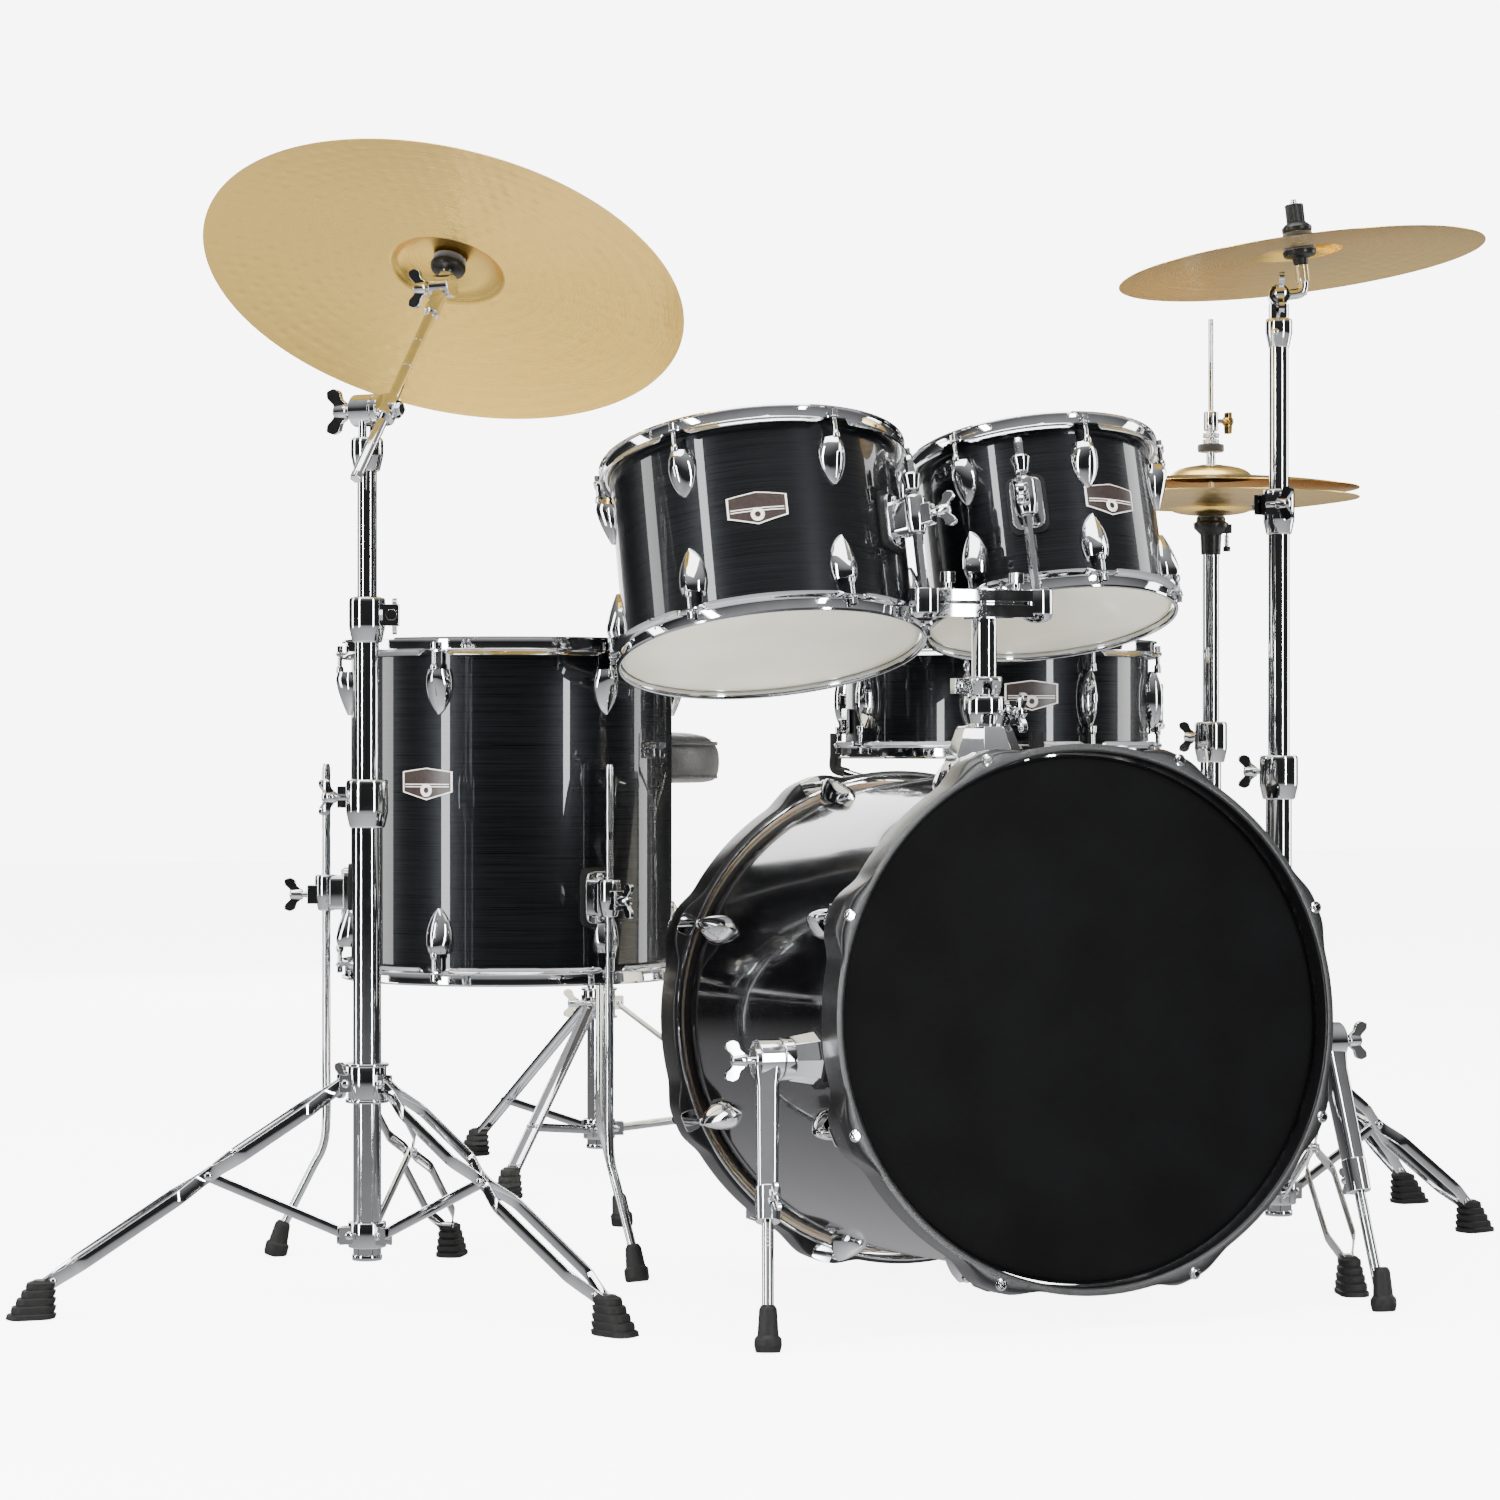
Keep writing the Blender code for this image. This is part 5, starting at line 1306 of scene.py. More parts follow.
def tripod(label, tube_top):
    """A stand's base: lower tube, leg collar, hub, three legs with struts, and ribbed feet."""
    size = TRIPODS[label]
    at, spread, radius, turn = size["at"], size["spread"], size["radius"], size["turn"]
    collar, hub = size["collar"], size["hub"]
    paired = label in ("ride", "crash", "hat")
    share = THRONE_ELBOW if label == "throne" else ELBOW
    shapes = [tube(radius, hub - 0.024, tube_top),
              disc(radius + 0.0010, hub - 0.026, hub - 0.020, 0.0008, 40, hole=0.003),
              disc(radius + 0.0052, collar - 0.018, collar + 0.018, 0.0015, 48, hole=radius),
              disc(radius + 0.0078, collar - 0.020, collar - 0.0165, 0.0010, 48, hole=radius),
              disc(radius + 0.0078, collar + 0.0165, collar + 0.020, 0.0010, 48, hole=radius),
              disc(radius + 0.0050, hub - 0.013, hub + 0.013, 0.0015, 48, hole=radius)]
    shapes += clamp(radius + 0.0070, tube_top - 0.045, tube_top + 0.004, radius - 0.0014, turn + 60)
    shapes += placed(wing_bolt(0.012), along(polar(radius + 0.005, turn + 60, collar), polar(1, turn + 60)))
    feet = []
    for k in range(3):
        degrees = turn + 120 * k
        lateral = polar(1, degrees + 90)
        root = polar(radius + 0.010, degrees, collar)
        ankle = polar(spread - 0.010, degrees, 0.026)
        elbow = root.lerp(ankle, share)
        base = polar(radius + 0.006, degrees, hub)
        shapes += paired_leg(root, ankle, share, lateral) if paired else single_leg(root, ankle, lateral)
        strut = [base, base.lerp(elbow, 0.5), elbow]
        shapes.append(swept(strut, oblong(0.0034, 0.0110, 0.0008), side=lateral))
        for point, half in ((root, 0.0062), (elbow, 0.0058), (base, 0.0062)):
            shapes += rivet(point, lateral, half)
        for height in (collar, hub):
            for side in (-1, 1):
                cheek = bar((radius + 0.002, side * 0.0050 - 0.0010, -0.009),
                            (radius + 0.016, side * 0.0050 + 0.0010, 0.009))
                shapes.append(moved(cheek, about_z(degrees) @ Matrix.Translation((0, 0, height))))
        shapes += rivet(ankle - (ankle - root).normalized() * 0.020, lateral, 0.0060, 0.0036)
        feet.append(rubber_foot(spread, degrees))
    place = Matrix.Translation(at)
    chrome_piece(f"{label}_tripod", shapes, "root", (f"{label}_base",), place, bevel=0.0004)
    piece(f"{label}_feet", feet, "rubber", "root", place=place)


# ---------------------------------------------------------------- cymbals
def cymbal(name, radius, bow, bell_radius, bell_height, place, body, replaces, hammered=1.0):
    """A thin bowed disc with a bell, a taper to its edge and rings of hammer dimples."""
    hole = 0.0062
    rows, columns = int(radius / 0.0031), 16 * int(radius / 0.0080)
    reach = np.concatenate([np.linspace(hole, bell_radius * 0.9, 14),
                            np.linspace(bell_radius * 0.94, bell_radius * 1.10, 7),
                            np.linspace(bell_radius * 1.14, radius, rows)])
    share = np.clip((reach - bell_radius) / (radius - bell_radius), 0, 1)
    dome = np.sqrt(np.clip(1 - (reach / bell_radius) ** 2 * 0.92, 0, 1))
    shoulder = 1 / (1 + np.exp((reach - bell_radius) / (bell_radius * 0.045)))
    height = bow * (1 - share ** 1.7) + bell_height * (dome * shoulder)
    turn = np.arange(columns) * 2 * math.pi / columns
    r_grid, t_grid = np.meshgrid(reach, turn, indexing="ij")
    z_grid = np.repeat(height[:, None], columns, axis=1)
    spacing = 0.0165
    for k, centre in enumerate(np.arange(bell_radius * 1.22, radius - 0.008, spacing)):
        count = int(2 * math.pi * centre / spacing)
        wobble = 0.0018 * np.sin(7 * t_grid + 2.1 * k)
        step = t_grid * count / (2 * math.pi) + 0.37 * k
        index = np.floor(step)
        jitter = 0.22 * np.sin(index * 12.9898 + k * 4.1)
        across = (step - index - 0.5 - jitter) * 2 * math.pi * centre / count
        down = r_grid - centre - wobble - 0.003 * np.sin(index * 7.31 + k)
        deep = 0.00062 * (0.65 + 0.35 * np.sin(index * 3.7 + k * 1.9))
        z_grid -= hammered * deep * np.exp(-(across ** 2 + down ** 2) / (2 * 0.0033 ** 2))
    thick = 0.0013 - 0.0006 * (reach - hole) / (radius - hole)
    points = []
    for side in (0.5, -0.5):
        z = z_grid + side * thick[:, None]
        points.append(np.stack([r_grid * np.cos(t_grid), r_grid * np.sin(t_grid), z], axis=-1))
    levels = len(reach)
    skin = np.concatenate([points[0], points[1][::-1]], axis=0).reshape(-1, 3)
    grid = np.arange(2 * levels * columns).reshape(2 * levels, columns)
    following = np.roll(grid, -1, axis=1)
    above, above_following = np.roll(grid, -1, axis=0), np.roll(following, -1, axis=0)
    faces = np.stack([grid, following, above_following, above], axis=-1).reshape(-1, 4)
    vertices = [Vector(v) for v in skin.tolist()]
    piece(name, [(vertices, faces.tolist())], "brass", body, replaces, place, sharp=60)


def felt_washer(radius, low, high, place, name, body, look="black_felt"):
    washer = disc(radius, low, high, 0.0022, 40, hole=0.0045)
    piece(name, [moved(washer, place)], look, body)


def ribbed_knob(low, high, radius, ribs=14):
    """A moulded nut with finger ribs."""
    outline = []
    for k in range(ribs * 4):
        a = 2 * math.pi * k / (ribs * 4)
        r = radius if k % 4 in (1, 2) else radius * 0.90
        outline.append((r * math.cos(a), r * math.sin(a)))
    return slab(outline, low, high)


def boom_side():
    """The level direction in which the boom is set off from its stand's tube, and the tube's point there."""
    pivot = pivot_of("ride_boom_pivot")
    clamp_at = Vector((RIDE_STAND.x, RIDE_STAND.y, pivot.z))
    return (pivot - clamp_at).normalized(), clamp_at


def ride_stand():
    at = Matrix.Translation(RIDE_STAND)
    tripod("ride", RIDE_COLLARS[0])
    low, high = RIDE_COLLARS
    middle = [tube(RIDE_TUBES[0], low - 0.150, high), *clamp(0.0185, high - 0.042, high + 0.004, 0.0105, -20)]
    chrome_piece("ride_middle_section", middle, "ride_middle_tube", ("ride_middle_tube",), at)
    insert = disc(0.0135, high + 0.0036, high + 0.0046, 0.0004, 40, hole=0.0101)
    piece("ride_middle_bush", [insert], "plastic", "ride_middle_tube", place=at)

    side, clamp_at = boom_side()
    upper = [moved(tube(RIDE_TUBES[1], high - 0.150, clamp_at.z - 0.030), at),
             moved(barrel(0.0165, clamp_at.z - 0.062, clamp_at.z - 0.028, 0.0098), at)]
    yoke = [Vector(clamp_at) - UP * 0.040, Vector(clamp_at) - UP * 0.020, Vector(clamp_at)]
    upper.append(swept(yoke, oblong(0.010, 0.026, 0.004, 3), side=side, sizes=[1.0, 0.9, 0.95]))
    upper.append(rod(clamp_at - side * 0.014, clamp_at + side * 0.011, 0.0165, sides=48))
    teeth = [moved(bar((0.009, -0.0009, 0.0), (0.0160, 0.0009, 0.0022)),
                   along(clamp_at + side * 0.0095, side) @ about_z(15 * k)) for k in range(24)]
    upper += teeth + placed(wing_bolt(0.014, 1.25), along(clamp_at - side * 0.014, -side))
    chrome_piece("ride_upper_section", upper, "ride_upper_tube", ("ride_upper_tube",))

    pivot = pivot_of("ride_boom_pivot")
    run = (RIDE_CENTRE - pivot).normalized()
    length = (RIDE_CENTRE - pivot).length
    boom = [rod(pivot - run * BOOM_TAIL, pivot + run * (length - 0.014), BOOM_RADIUS, sides=32),
            rod(pivot - run * (BOOM_TAIL + 0.001), pivot - run * (BOOM_TAIL - 0.007), 0.0066, sides=6)]
    for k in range(6):
        start = -BOOM_TAIL + 0.045 + 0.036 * k
        if abs(start) > 0.028:
            boom.append(rod(pivot + run * start, pivot + run * (start + 0.0025), 0.0062, sides=32))
    sleeve_start, sleeve_end = pivot - run * 0.013, pivot + run * 0.013
    boom += [rod(sleeve_start, sleeve_end, 0.0115, sides=40),
             rod(clamp_at + side * 0.0113, clamp_at + side * 0.0190, 0.0160, sides=48),
             rod(clamp_at + side * 0.0190, clamp_at + side * 0.0370, 0.0100, sides=40),
             rod(clamp_at + side * 0.0370, clamp_at + side * 0.0415, 0.0072, sides=6),
             rod(pivot + run * (length - 0.040), pivot + run * (length - 0.012), 0.0085, sides=36)]
    chrome_piece("ride_boom_arm", boom, "ride_boom", ("ride_boom",))

    normal = RIDE_NORMAL
    stem = RIDE_CENTRE + normal * 0.082
    tilter = [rod(RIDE_CENTRE - side * 0.012, RIDE_CENTRE + side * 0.012, 0.0122, sides=40),
              rod(RIDE_CENTRE, RIDE_CENTRE + normal * 0.022, 0.0078, sides=32),
              rod(RIDE_CENTRE, stem, STEM_RADIUS, sides=24)]
    tilter += placed(wing_bolt(0.013, 1.1), along(RIDE_CENTRE - side * 0.012, -side))
    chrome_piece("ride_tilter_body", tilter, "ride_tilter", ("ride_tilter",))
    cymbal_fittings("ride", RIDE_CENTRE, normal, 0.020, 0.018, "ride_tilter", 0.082, 0.0215)
    cymbal("ride_plate", 10 * INCH, 0.020, 0.058, 0.018, along(RIDE_CENTRE, normal), "ride_cymbal",
           ("ride_cymbal",))


def cymbal_fittings(label, centre, normal, bow, bell, body, reach, cup_low):
    """Seat cup and sleeve under the bell, felts either side of it, and a ribbed nut on top."""
    place = along(centre, normal)
    hole_z = bow + bell - 0.0015
    cup = spun([(0.0040, hole_z - 0.0105), (0.0040, cup_low - 0.004), (0.0075, cup_low - 0.004),
                (0.0090, hole_z - 0.0190), (0.0175, hole_z - 0.0165), (0.0190, hole_z - 0.0105)],
               0.0012, 3, 48, closed=True)
    nut = [spun([(0.0036, hole_z + 0.0105), (0.0165, hole_z + 0.0105), (0.0170, hole_z + 0.0155),
                 (0.0115, hole_z + 0.0205), (0.0036, hole_z + 0.0215)], 0.0014, 3, 48, closed=True),
           ribbed_knob(hole_z + 0.0205, reach - 0.006, 0.0105)]
    piece(f"{label}_seat_cup", placed([cup], place), "plastic", body)
    piece(f"{label}_top_nut", placed(nut, place), "plastic", body, bevel=0.0005)
    felt_washer(0.0180, hole_z - 0.0103, hole_z - 0.0023, place, f"{label}_lower_felt", body)
    felt_washer(0.0165, hole_z + 0.0025, hole_z + 0.0103, place, f"{label}_upper_felt", body)


def crash_stand():
    at = Matrix.Translation(CRASH_STAND)
    tripod("crash", CRASH_COLLAR_Z)
    pivot = pivot_of("crash_tilt")
    axis = Vector(JOINTS["crash_tilt"]["axis"]).normalized()
    lower, upper = CRASH_CLAMP_Z
    tubes = [tube(CRASH_TUBE_RADIUS, CRASH_COLLAR_Z - 0.150, upper - 0.002),
             tube(0.0108, upper - 0.02, pivot.z - 0.030),
             *clamp(0.0175, lower, upper, 0.0110, 200, 0.018),
             barrel(0.0150, pivot.z - 0.058, pivot.z - 0.026, 0.0108)]
    shapes = placed(tubes, at)
    shapes += [swept([pivot - UP * 0.036, pivot - UP * 0.0100], oblong(0.014, 0.022, 0.003, 3), side=axis)]
    screw_at = pivot + Vector((-0.010, -0.0105, -0.042))
    shapes.append(screw_head(0.0040, 0.003, along(screw_at, (-0.7, -0.7, 0))))
    chrome_piece("crash_upright", shapes, "crash_tube", ("crash_tube",))

    normal = CRASH_NORMAL
    outward = CRASH_CENTRE - normal * (CRASH_CENTRE.z - pivot.z) - pivot
    elbow = pivot + outward
    stem = CRASH_CENTRE + normal * 0.074
    bend = smooth_path([pivot, pivot + outward * 0.45 + UP * 0.001, elbow - outward * 0.12 + normal * 0.004,
                        elbow + normal * 0.016, elbow + normal * 0.030], 6)
    tilter = [rod(pivot - axis * 0.011, pivot + axis * 0.011, 0.0120, sides=40),
              rod(pivot - axis * 0.014, pivot - axis * 0.011, 0.0085, sides=32),
              swept(bend, circle(0.0062, 24)),
              rod(elbow + normal * 0.014, elbow + normal * 0.034, 0.0080, sides=32),
              rod(elbow, stem, STEM_RADIUS, sides=24)]
    tilter += placed(wing_bolt(0.012, 1.2), along(pivot + axis * 0.011, axis))
    chrome_piece("crash_tilter_body", tilter, "crash_tilter", ("crash_tilter",))
    cymbal_fittings("crash", CRASH_CENTRE, normal, 0.014, 0.014, "crash_tilter", 0.074, 0.004)
    cymbal("crash_plate", 8 * INCH, 0.014, 0.047, 0.014, along(CRASH_CENTRE, normal), "crash_cymbal",
           ("crash_cymbal",))


# ---------------------------------------------------------------- hi-hat
def hi_hat():
    at = Matrix.Translation(HAT_STAND)
    tripod("hat", HAT_COLLAR_Z)
    upper = [tube(HAT_TUBE_RADIUS, HAT_COLLAR_Z - 0.130, HAT_SEAT_Z - 0.030, 0.0044)]
    chrome_piece("hat_upright", upper, "hat_upper_tube", ("hat_upper_tube",), at)
    seat = HAT_SEAT_Z
    cup = spun([(0.0055, seat - 0.046), (0.0118, seat - 0.046), (0.0128, seat - 0.022),
                (0.0205, seat - 0.014), (0.0215, seat - 0.008), (0.0175, seat - 0.006),
                (0.0175, seat - 0.001), (0.0055, seat - 0.001)], 0.0012, 3, 56, closed=True)
    knob = moved(spun([(0, -0.030), (0.0045, -0.030), (0.0045, -0.024), (0, -0.024)], 0.0008, 2, 24),
                 Matrix.Translation((0.019, -0.005, seat - 0.012)))
    boss = bar((0.010, -0.010, seat - 0.020), (0.0235, 0.000, seat - 0.009))
    piece("hat_seat_cup", [cup, boss, knob], "plastic", "hat_upper_tube", place=at,
          bevel=0.0005)
    screw_x, screw_y = 0.019, -0.005
    screw = [spring(screw_x, screw_y, seat - 0.036, 0.014, 0.0026, 0.00045, 9, 6),
             rod((screw_x, screw_y, seat - 0.040), (screw_x, screw_y, seat - 0.014), 0.0014)]
    piece("hat_tilt_screw", screw, "steel", "hat_upper_tube", place=at)
    felt = disc(0.0170, seat - 0.0008, HAT_MEET_Z - HAT_OPENING / 2 - 0.0217, 0.0015, 48, hole=0.0057)
    piece("hat_seat_felt", [felt], "black_felt", "hat_upper_tube", place=at)

    top_plane = HAT_MEET_Z + HAT_OPENING / 2
    clutch = top_plane + 0.036
    pull = [rod((0, 0, HAT_ROD_LOW), (0, 0, HAT_ROD_TOP), HAT_ROD_RADIUS, sides=24)]
    chrome_piece("hat_pull_rod", pull, "hat_rod", ("hat_rod",), at)
    body = [disc(0.0088, clutch + 0.034, clutch + 0.057, 0.001, 40, hole=0.0036),
            disc(0.0056, clutch - 0.012, clutch + 0.034, 0.0005, 32, hole=0.0036),
            ribbed_knob(clutch + 0.018, clutch + 0.0235, 0.0100, 16),
            ribbed_knob(clutch + 0.0255, clutch + 0.031, 0.0100, 16),
            ribbed_knob(clutch - 0.0115, clutch - 0.0075, 0.0080, 12),
            rod((0.006, 0, clutch + 0.046), (0.020, 0, clutch + 0.046), 0.0028)]
    chrome_piece("hat_clutch", body, "hat_rod", place=at, bevel=0.0004)
    plan = [(-0.0055, -0.013), (0.0055, -0.013), (0.0065, 0.0), (0.0055, 0.013), (-0.0055, 0.013),
            (-0.0065, 0.0)]
    standing = (Matrix.Translation((0.0235, 0, clutch + 0.044)) @ Matrix.Rotation(math.pi / 2, 4, "Y")
                @ about_z(90))
    wing = [moved(slab(eased(plan, 0.0018, 3, closed=True), -0.0026, 0.0026), standing),
            rod((0.017, 0, clutch + 0.046), (0.029, 0, clutch + 0.046), 0.0050)]
    piece("hat_clutch_knob", wing, "gilt", "hat_rod", place=at, bevel=0.0008)
    felt_washer(0.0160, clutch + 0.0080, clutch + 0.0178, at, "hat_upper_felt", "hat_rod")
    felt_washer(0.0150, clutch - 0.0092, clutch - 0.0072, at, "hat_lower_felt", "hat_rod", "white_felt")
    radius = 7 * INCH
    upright = at @ Matrix.Translation((0, 0, top_plane))
    cymbal("hat_top_plate", radius, 0.012, 0.050, 0.016, upright, "hat_rod", ("hat_top_cymbal",), 0.7)
    flipped = at @ Matrix.Translation((0, 0, HAT_MEET_Z - HAT_OPENING / 2)) @ upside_down()
    cymbal("hat_bottom_plate", radius, 0.012, 0.050, 0.0085, flipped, "hat_upper_tube",
           ("hat_bottom_cymbal",), 0.7)
    hat_pedal()


def ribbed_board(heel, toe, width, end_width, name, body, replaces):
    """A foot pedal's board: tapered plate, raised border, cross ribs and its heel hinge."""
    run = toe - heel
    down = run.normalized()
    normal = Vector((1, 0, 0)).cross(down).normalized()
    if normal.z < 0:
        normal.negate()
    length = run.length
    place = Matrix.Translation(heel) @ Matrix((Vector((1, 0, 0)), down, normal)).transposed().to_4x4()

    def half(y):
        return (width + (end_width - width) * y / length) / 2

    plan = [(-half(0.012), 0.012), (half(0.012), 0.012), (half(length), length - 0.006),
            (half(length) * 0.7, length), (-half(length) * 0.7, length), (-half(length), length - 0.006)]
    shapes = [slab(eased(plan, 0.004, 3, closed=True), -0.0025, 0.0020)]
    for side in (-1, 1):
        path = [Vector((side * (half(y) - 0.0025), y, 0.003)) for y in (0.014, length - 0.008)]
        shapes.append(swept(path, oblong(0.0040, 0.0050, 0.0012)))
    for k in range(13):
        y = 0.035 + (length - 0.060) * k / 12
        shapes.append(swept([Vector((-half(y) + 0.007, y, 0.0022)), Vector((half(y) - 0.007, y, 0.0022))],
                            oblong(0.0045, 0.0022, 0.0009)))
    hinge = [rod((-half(0) + 0.002, 0, 0), (half(0) - 0.002, 0, 0), 0.0062, sides=32)]
    chrome_piece(name, placed(shapes + hinge, place), body, replaces, bevel=0.0006)


def hat_pedal():
    heel = pivot_of("hat_board_press")
    toe = heel + Vector((0, -0.262, 0.040))
    ribbed_board(heel, toe, 0.086, 0.066, "hat_board", "hat_footboard", ("hat_footboard",))
    foot = HAT_STAND
    frame_shapes = [bar((-0.0035, 0.02, 0.0015), (0.0035, heel.y - foot.y, 0.005)),
                    bar((-0.050, heel.y - foot.y - 0.010, 0.0), (0.050, heel.y - foot.y + 0.016, 0.0065))]
    for side in (-1, 1):
        frame_shapes.append(rod((side * 0.048, 0.300, 0.0035), (side * 0.014, 0.02, 0.090), 0.0032))
    chrome_piece("hat_frame_rods", frame_shapes, "root", place=Matrix.Translation(foot), bevel=0.0006)
    strap = [swept([toe + UP * 0.004, Vector((foot.x, foot.y, 0.088))], oblong(0.012, 0.003, 0.001, 2))]
    piece("hat_strap", strap, "leather", "hat_footboard")


# ---------------------------------------------------------------- throne
def throne():
    at = Matrix.Translation(THRONE)
    tripod("throne", 0.400)
    plate = THRONE_SEAT_Z - 0.0003
    post = [rod((0, 0, 0.250), (0, 0, plate - 0.004), THRONE_POST_RADIUS, sides=40),
            disc(0.070, plate - 0.006, plate, 0.0015, 56),
            disc(0.020, plate - 0.045, plate - 0.003, 0.002, 40)]
    for k in range(5):
        low = 0.425 + 0.011 * k
        post.append(disc(0.0137, low, 0.4262 + 0.011 * k, 0.0003, 40, hole=0.0125))
    for k in range(4):
        hanging = Matrix.Translation(polar(0.052, 45 + 90 * k, plate - 0.006)) @ upside_down()
        post.append(screw_head(0.0055, 0.003, hanging))
    post += placed(wing_bolt(0.014, 1.2), along((0, 0.019, plate - 0.028), (0, 1, 0)))
    chrome_piece("throne_upright", post, "throne_post", ("throne_post",), at)
    cushion(at)


def cushion(at):
    """A round padded seat: crowned top panel, piping at both seams, a boxed side and stitches."""
    low, high = THRONE_SEAT_Z, THRONE_SEAT_Z + THRONE_SEAT_HEIGHT
    radius = THRONE_SEAT_RADIUS
    outline = [(0, low + 0.001), (radius - 0.022, low + 0.001), (radius - 0.008, low + 0.004),
               (radius - 0.003, low + 0.012), (radius - 0.001, low + 0.026), (radius - 0.002, low + 0.042),
               (radius - 0.006, high - 0.020), (radius - 0.018, high - 0.009),
               (radius - 0.040, high - 0.0045),
               (radius * 0.5, high - 0.002), (0, high - 0.001)]
    shape = turned(eased(outline, 0.006, 3), 120)
    seat = piece("seat_cushion", [shape], "leather", "throne_seat", ("throne_seat",), at, sharp=70)
    pull_in(seat, radius, high)
    beads = []
    for r, z in ((radius - 0.0055, high - 0.0185), (radius - 0.0058, low + 0.0085)):
        loop = [polar(r, 3 * k, z) for k in range(120)]
        ring = [[p + 0.0026 * (math.cos(a) * Vector((p.x, p.y, 0)).normalized() + math.sin(a) * UP)
                 for a in [2 * math.pi * j / 10 for j in range(10)]] for p in loop]
        beads.append(lofted(ring, closed=True))
    piece("seat_piping", beads, "leather", "throne_seat", place=at, sharp=70)
    stitch = rod((0, -0.0024, 0), (0, 0.0024, 0), 0.00045, sides=6)
    stitches = [moved(stitch, about_z(3 * k) @ Matrix.Translation((radius - 0.0110, 0, high - 0.0128)))
                for k in range(120)]
    piece("seat_stitches", stitches, "thread", "throne_seat", place=at)


def pull_in(seat, radius, high):
    """Soft radial puckers round the outer edge, strongest below the top seam, and a shallow sag in the middle
    of the top panel.
    """
    for vertex in seat.data.vertices:
        reach = math.hypot(vertex.co.x, vertex.co.y)
        turn = math.atan2(vertex.co.y, vertex.co.x)
        side = min(max((reach - radius * 0.80) / (radius * 0.20), 0), 1)
        pucker = math.sin(23 * turn) * 0.5 + math.sin(41 * turn + 1.3) * 0.5
        vertex.co.z += 0.0006 * pucker * side * (1 if vertex.co.z > high - 0.03 else 0.4)
        sag = math.exp(-(reach / (radius * 0.45)) ** 2)
        vertex.co.z -= 0.0022 * sag * (vertex.co.z > high - 0.01)


# ---------------------------------------------------------------- bass pedal
def chain(start, end, count=14):
    """Roller chain links between two points, alternate links with their plates set wider apart."""
    shapes = []
    run = end - start
    for k in range(count):
        at = start.lerp(end, (k + 0.5) / count)
        half = run.normalized() * run.length / count * 0.62
        gap = 0.0030 if k % 2 else 0.0019
        for side in (-1, 1):
            offset = Vector((side * gap, 0, 0))
            shapes.append(swept([at - half + offset, at + half + offset], oblong(0.0008, 0.0048, 0.0003)))
        pin = Vector((0.0036, 0, 0))
        shapes.append(rod(at - half - pin, at - half + pin, 0.0012, sides=12))
    return shapes


def bass_pedal():
    shaft = PEDAL_SHAFT
    posts = PEDAL_POSTS
    base = [bar((-0.030, 0.545, 0.002), (0.030, 0.850, 0.0055)),
            bar((-posts - 0.010, shaft.y - 0.020, 0.0), (posts + 0.010, shaft.y + 0.020, 0.012)),
            bar((-0.024, 0.840, 0.0), (0.024, 0.880, 0.016))]
    for side in (-1, 1):
        path = [Vector((side * posts, shaft.y, 0.010)), Vector((side * posts, shaft.y, 0.060)),
                Vector((side * posts, shaft.y, shaft.z - 0.014))]
        base.append(swept(path, oblong(0.011, 0.018, 0.003, 3), sizes=[1.25, 0.95, 1.0]))
        ring = disc(0.0125, -0.006, 0.006, 0.0015, 40, hole=0.0056)
        bearing = Matrix.Translation((side * posts, shaft.y, shaft.z)) @ Matrix.Rotation(math.pi / 2, 4, "Y")
        base.append(moved(ring, bearing))
    base += [bar((-0.020, 0.520, 0.018), (0.020, 0.560, 0.022)),
             rod((0, 0.552, 0.008), (0, 0.552, 0.028), 0.004)]
    chrome_piece("pedal_base", base, "root", ("pedal_frame",), bevel=0.0008)

    lean = Vector((0, math.sin(BEATER_REST), math.cos(BEATER_REST)))
    tip = shaft + lean * BEATER_REACH
    facing = Vector((0, -math.cos(BEATER_REST), math.sin(BEATER_REST)))
    axle = Vector((1, 0, 0))
    cam_plan = circle(0.0175, 40)
    cam = [moved(slab(cam_plan, -0.0060, -0.0040), along(shaft, axle)),
           moved(slab(cam_plan, 0.0040, 0.0060), along(shaft, axle)),
           rod(shaft - axle * 0.0042, shaft + axle * 0.0042, 0.0140, sides=40)]
    beater = [rod(shaft - axle * (posts + 0.018), shaft + axle * (posts + 0.018), 0.0048, sides=6), *cam,
              rod(shaft - lean * 0.018, tip, 0.0036, sides=24),
              rod(shaft - lean * 0.010 + axle * 0.010, shaft + lean * 0.012 + axle * 0.010, 0.0065, sides=24),
              rod(tip - lean * 0.012, tip + lean * 0.006, 0.0062, sides=24),
              rod(shaft + axle * (posts + 0.006), shaft + axle * (posts + 0.014), 0.0105, sides=32)]
    chrome_piece("beater_shaft", beater, "pedal_beater", ("pedal_beater",))
    front, back = tip + facing * 0.026, tip - facing * 0.022
    head_path = [back, back.lerp(front, 0.10), back.lerp(front, 0.5), back.lerp(front, 0.88), front]
    felt = swept(head_path, circle(1, 40), sizes=[0.015, 0.0195, 0.0225, 0.0245, 0.0215])
    piece("beater_felt", [felt], "white_felt", "pedal_beater")
    heel = pivot_of("pedal_board_press")
    toe = heel + Vector((0, -0.240, 0.056))
    ribbed_board(heel, toe, 0.062, 0.080, "pedal_board", "pedal_footboard", ("pedal_footboard",))
    top, low = shaft + Vector((0, 0.0150, 0.0)), toe + Vector((0, 0.006, 0.004))
    chrome_piece("pedal_chain", chain(low, top), "pedal_footboard", bevel=0.0)
    x = posts + 0.014
    wires = [spring(x, shaft.y, 0.024, 0.075, 0.0055, 0.0009, 16, 8),
             rod((x, shaft.y, 0.012), (x, shaft.y, 0.026), 0.0025, sides=16)]
    piece("pedal_spring", wires, "steel", "root")


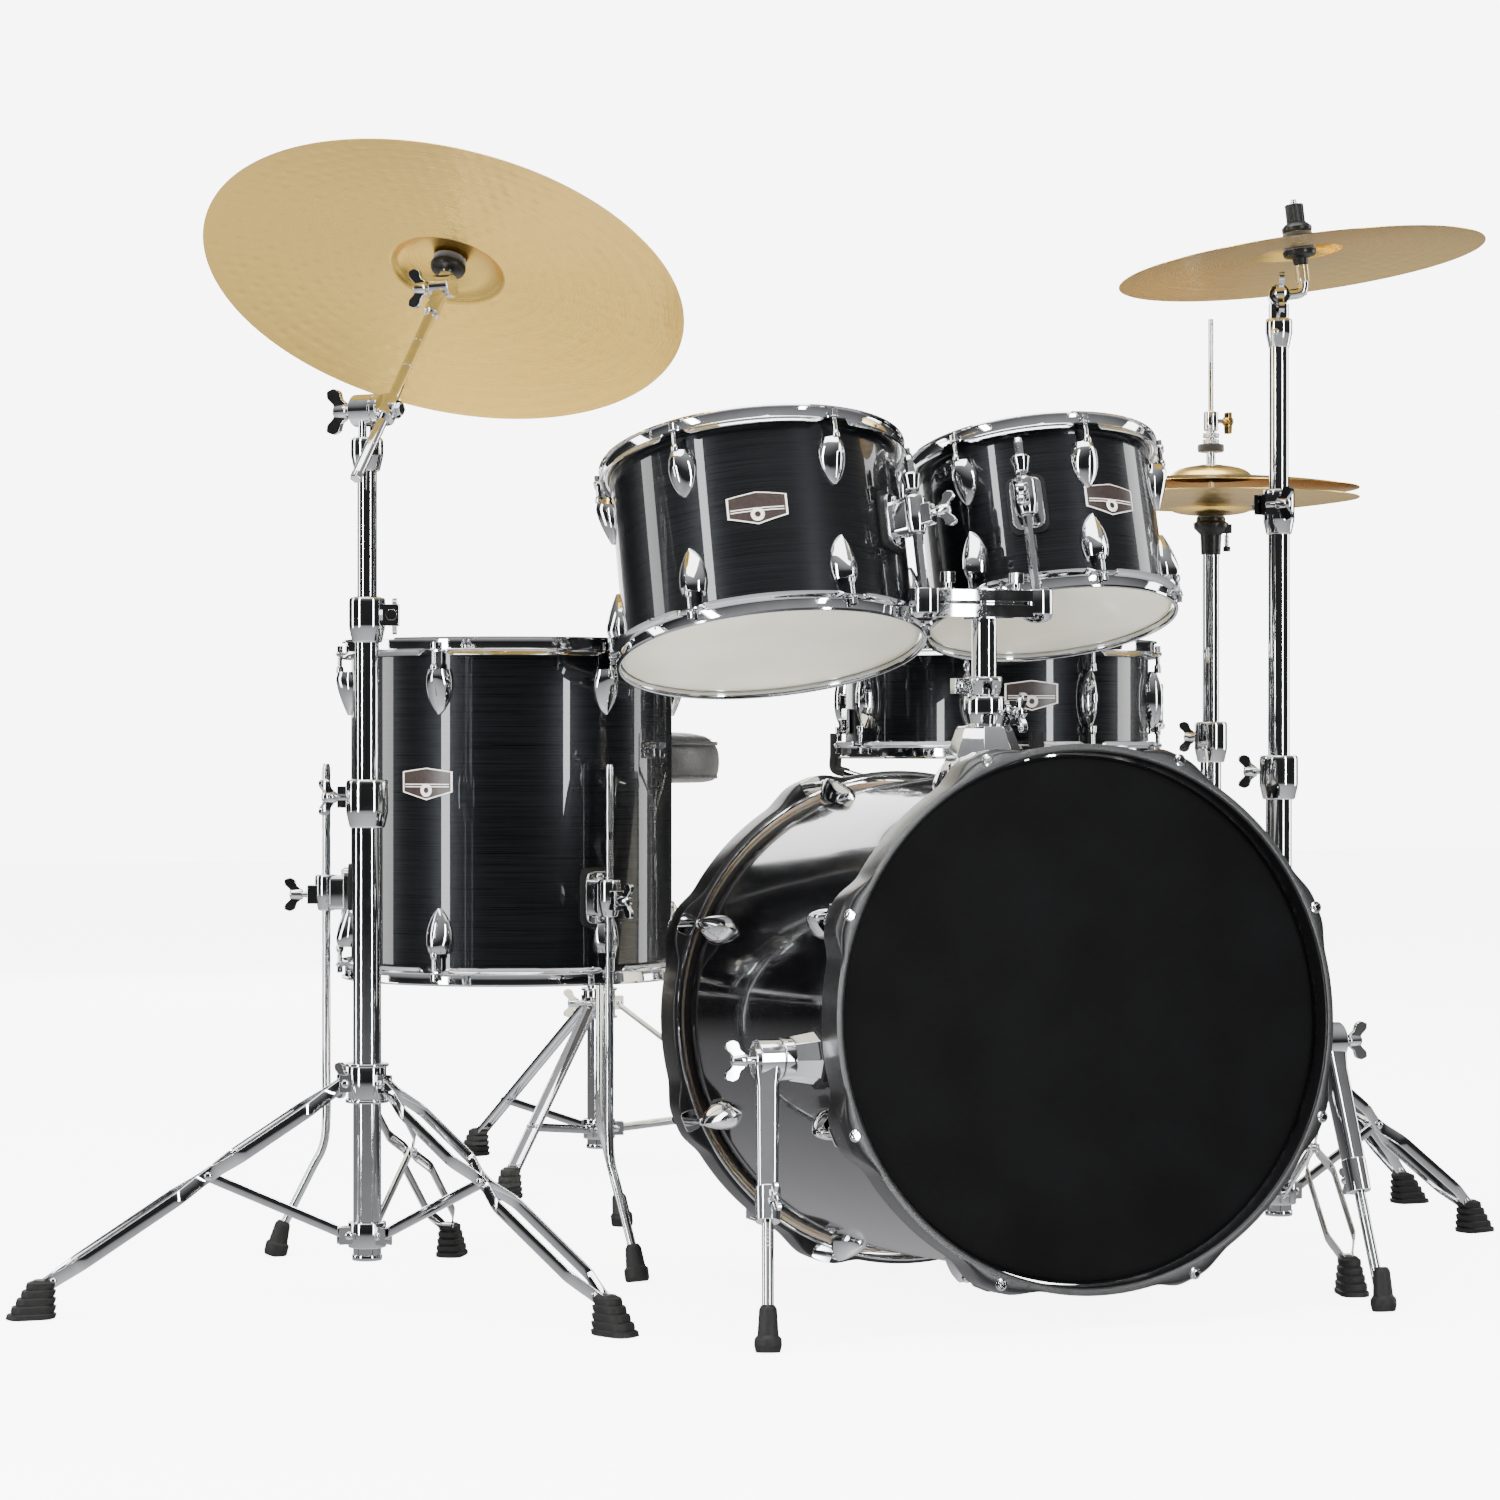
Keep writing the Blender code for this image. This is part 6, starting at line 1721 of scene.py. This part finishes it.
# ---------------------------------------------------------------- stage
def stage():
    mesh = bpy.data.meshes.new("floor")
    reach = FLOOR_REACH
    corners = [(-reach, -reach, 0), (reach, -reach, 0), (reach, reach, 0), (-reach, reach, 0)]
    mesh.from_pydata(corners, [], [(0, 1, 2, 3)])
    mesh.materials.append(stage_paint())
    floor = bpy.data.objects.new("floor", mesh)
    bpy.context.scene.collection.objects.link(floor)
    floor.visible_glossy = False
    floor.visible_diffuse = False


def softbox(name, at, aim, width, height, power, colour=(1, 1, 1), mirrored=True):
    """A rectangular area light aimed at a point; one that isn't mirrored leaves no reflection."""
    light = bpy.data.lights.new(name, "AREA")
    light.shape = "RECTANGLE"
    light.size, light.size_y = width, height
    light.energy = power
    light.color = colour
    made = bpy.data.objects.new(name, light)
    bpy.context.scene.collection.objects.link(made)
    at, aim = Vector(at), Vector(aim)
    made.location = at
    made.rotation_euler = (aim - at).to_track_quat("-Z", "Y").to_euler()
    made.visible_camera = False
    made.visible_glossy = mirrored


def lights():
    middle = Vector((0, 0, 0.6))
    softbox("overhead", (-0.6, -0.6, 4.0), middle, 4.0, 4.0, 300)
    softbox("left_strip", (-4.6, -2.2, 1.5), middle, 0.55, 3.8, 170, (0.97, 0.99, 1.0))
    softbox("right_strip", (1.6, -5.0, 1.5), middle, 0.45, 3.8, 150, (0.97, 0.99, 1.0))
    softbox("right_side", (4.8, -0.4, 1.5), middle, 1.4, 3.4, 110)
    softbox("left_side", (-4.6, 1.9, 1.5), middle, 1.0, 3.4, 90)
    softbox("back", (0.6, 4.8, 1.9), middle, 3.2, 2.6, 120)
    softbox("low_fill", (-1.2, -2.4, 0.02), Vector((0, 0.2, 0.9)), 4.0, 2.0, 300, (1.0, 0.98, 0.94), False)
    softbox("under_fill", (-0.3, 0.50, 0.015), Vector((-0.3, 0.50, 1.0)), 3.4, 1.0, 120,
            (1.0, 0.95, 0.86), False)
    surroundings()


def surroundings():
    """White to the camera, and to everything else a dark horizon between a pale floor and ceiling."""
    world = bpy.data.worlds.new("studio")
    world.use_nodes = True
    tree = world.node_tree
    background = tree.nodes["Background"]
    path = tree.nodes.new("ShaderNodeLightPath")
    mix = tree.nodes.new("ShaderNodeMix")
    mix.data_type = "RGBA"
    mix.inputs["B"].default_value = (BACKGROUND_GLOW, BACKGROUND_GLOW, BACKGROUND_GLOW, 1)
    where = tree.nodes.new("ShaderNodeTexCoord")
    height = tree.nodes.new("ShaderNodeSeparateXYZ")
    sky = tree.nodes.new("ShaderNodeValToRGB")
    half = tree.nodes.new("ShaderNodeMapRange")
    half.inputs["From Min"].default_value = -1.0
    levels = ((0.0, 0.60), (0.09, 1.35), (0.16, 0.85), (0.34, 0.50), (0.43, 0.34), (0.475, 0.02),
              (0.58, 0.03), (1.0, 0.60))
    for k, (share, level) in enumerate(levels):
        stop = sky.color_ramp.elements[k] if k < 2 else sky.color_ramp.elements.new(share)
        stop.position = share
        stop.color = (level, level, level * 1.03, 1)
    tree.links.new(where.outputs["Generated"], height.inputs["Vector"])
    tree.links.new(height.outputs["Z"], half.inputs["Value"])
    tree.links.new(half.outputs["Result"], sky.inputs["Fac"])
    tree.links.new(sky.outputs["Color"], mix.inputs["A"])
    tree.links.new(path.outputs["Is Camera Ray"], mix.inputs["Factor"])
    tree.links.new(mix.outputs["Result"], background.inputs["Color"])
    bpy.context.scene.world = world


def camera():
    lens = bpy.data.cameras.new("camera")
    lens.lens = 87.6
    lens.sensor_width = 36
    lens.clip_end = 60
    made = bpy.data.objects.new("camera", lens)
    bpy.context.scene.collection.objects.link(made)
    made.location = SHIFT + Vector((-1.583, -3.196, 0.56))
    made.rotation_euler = (math.radians(90), 0, math.radians(-21))
    bpy.context.scene.camera = made


camera()
stage()
lights()
bass_drum()
tom_mount()
mounted_tom("left_tom", LEFT_TOM, (-112, 0.004))
mounted_tom("right_tom", RIGHT_TOM, (-79, 0.004))
floor_tom()
snare_drum()
snare_stand()
ride_stand()
crash_stand()
hi_hat()
throne()
bass_pedal()
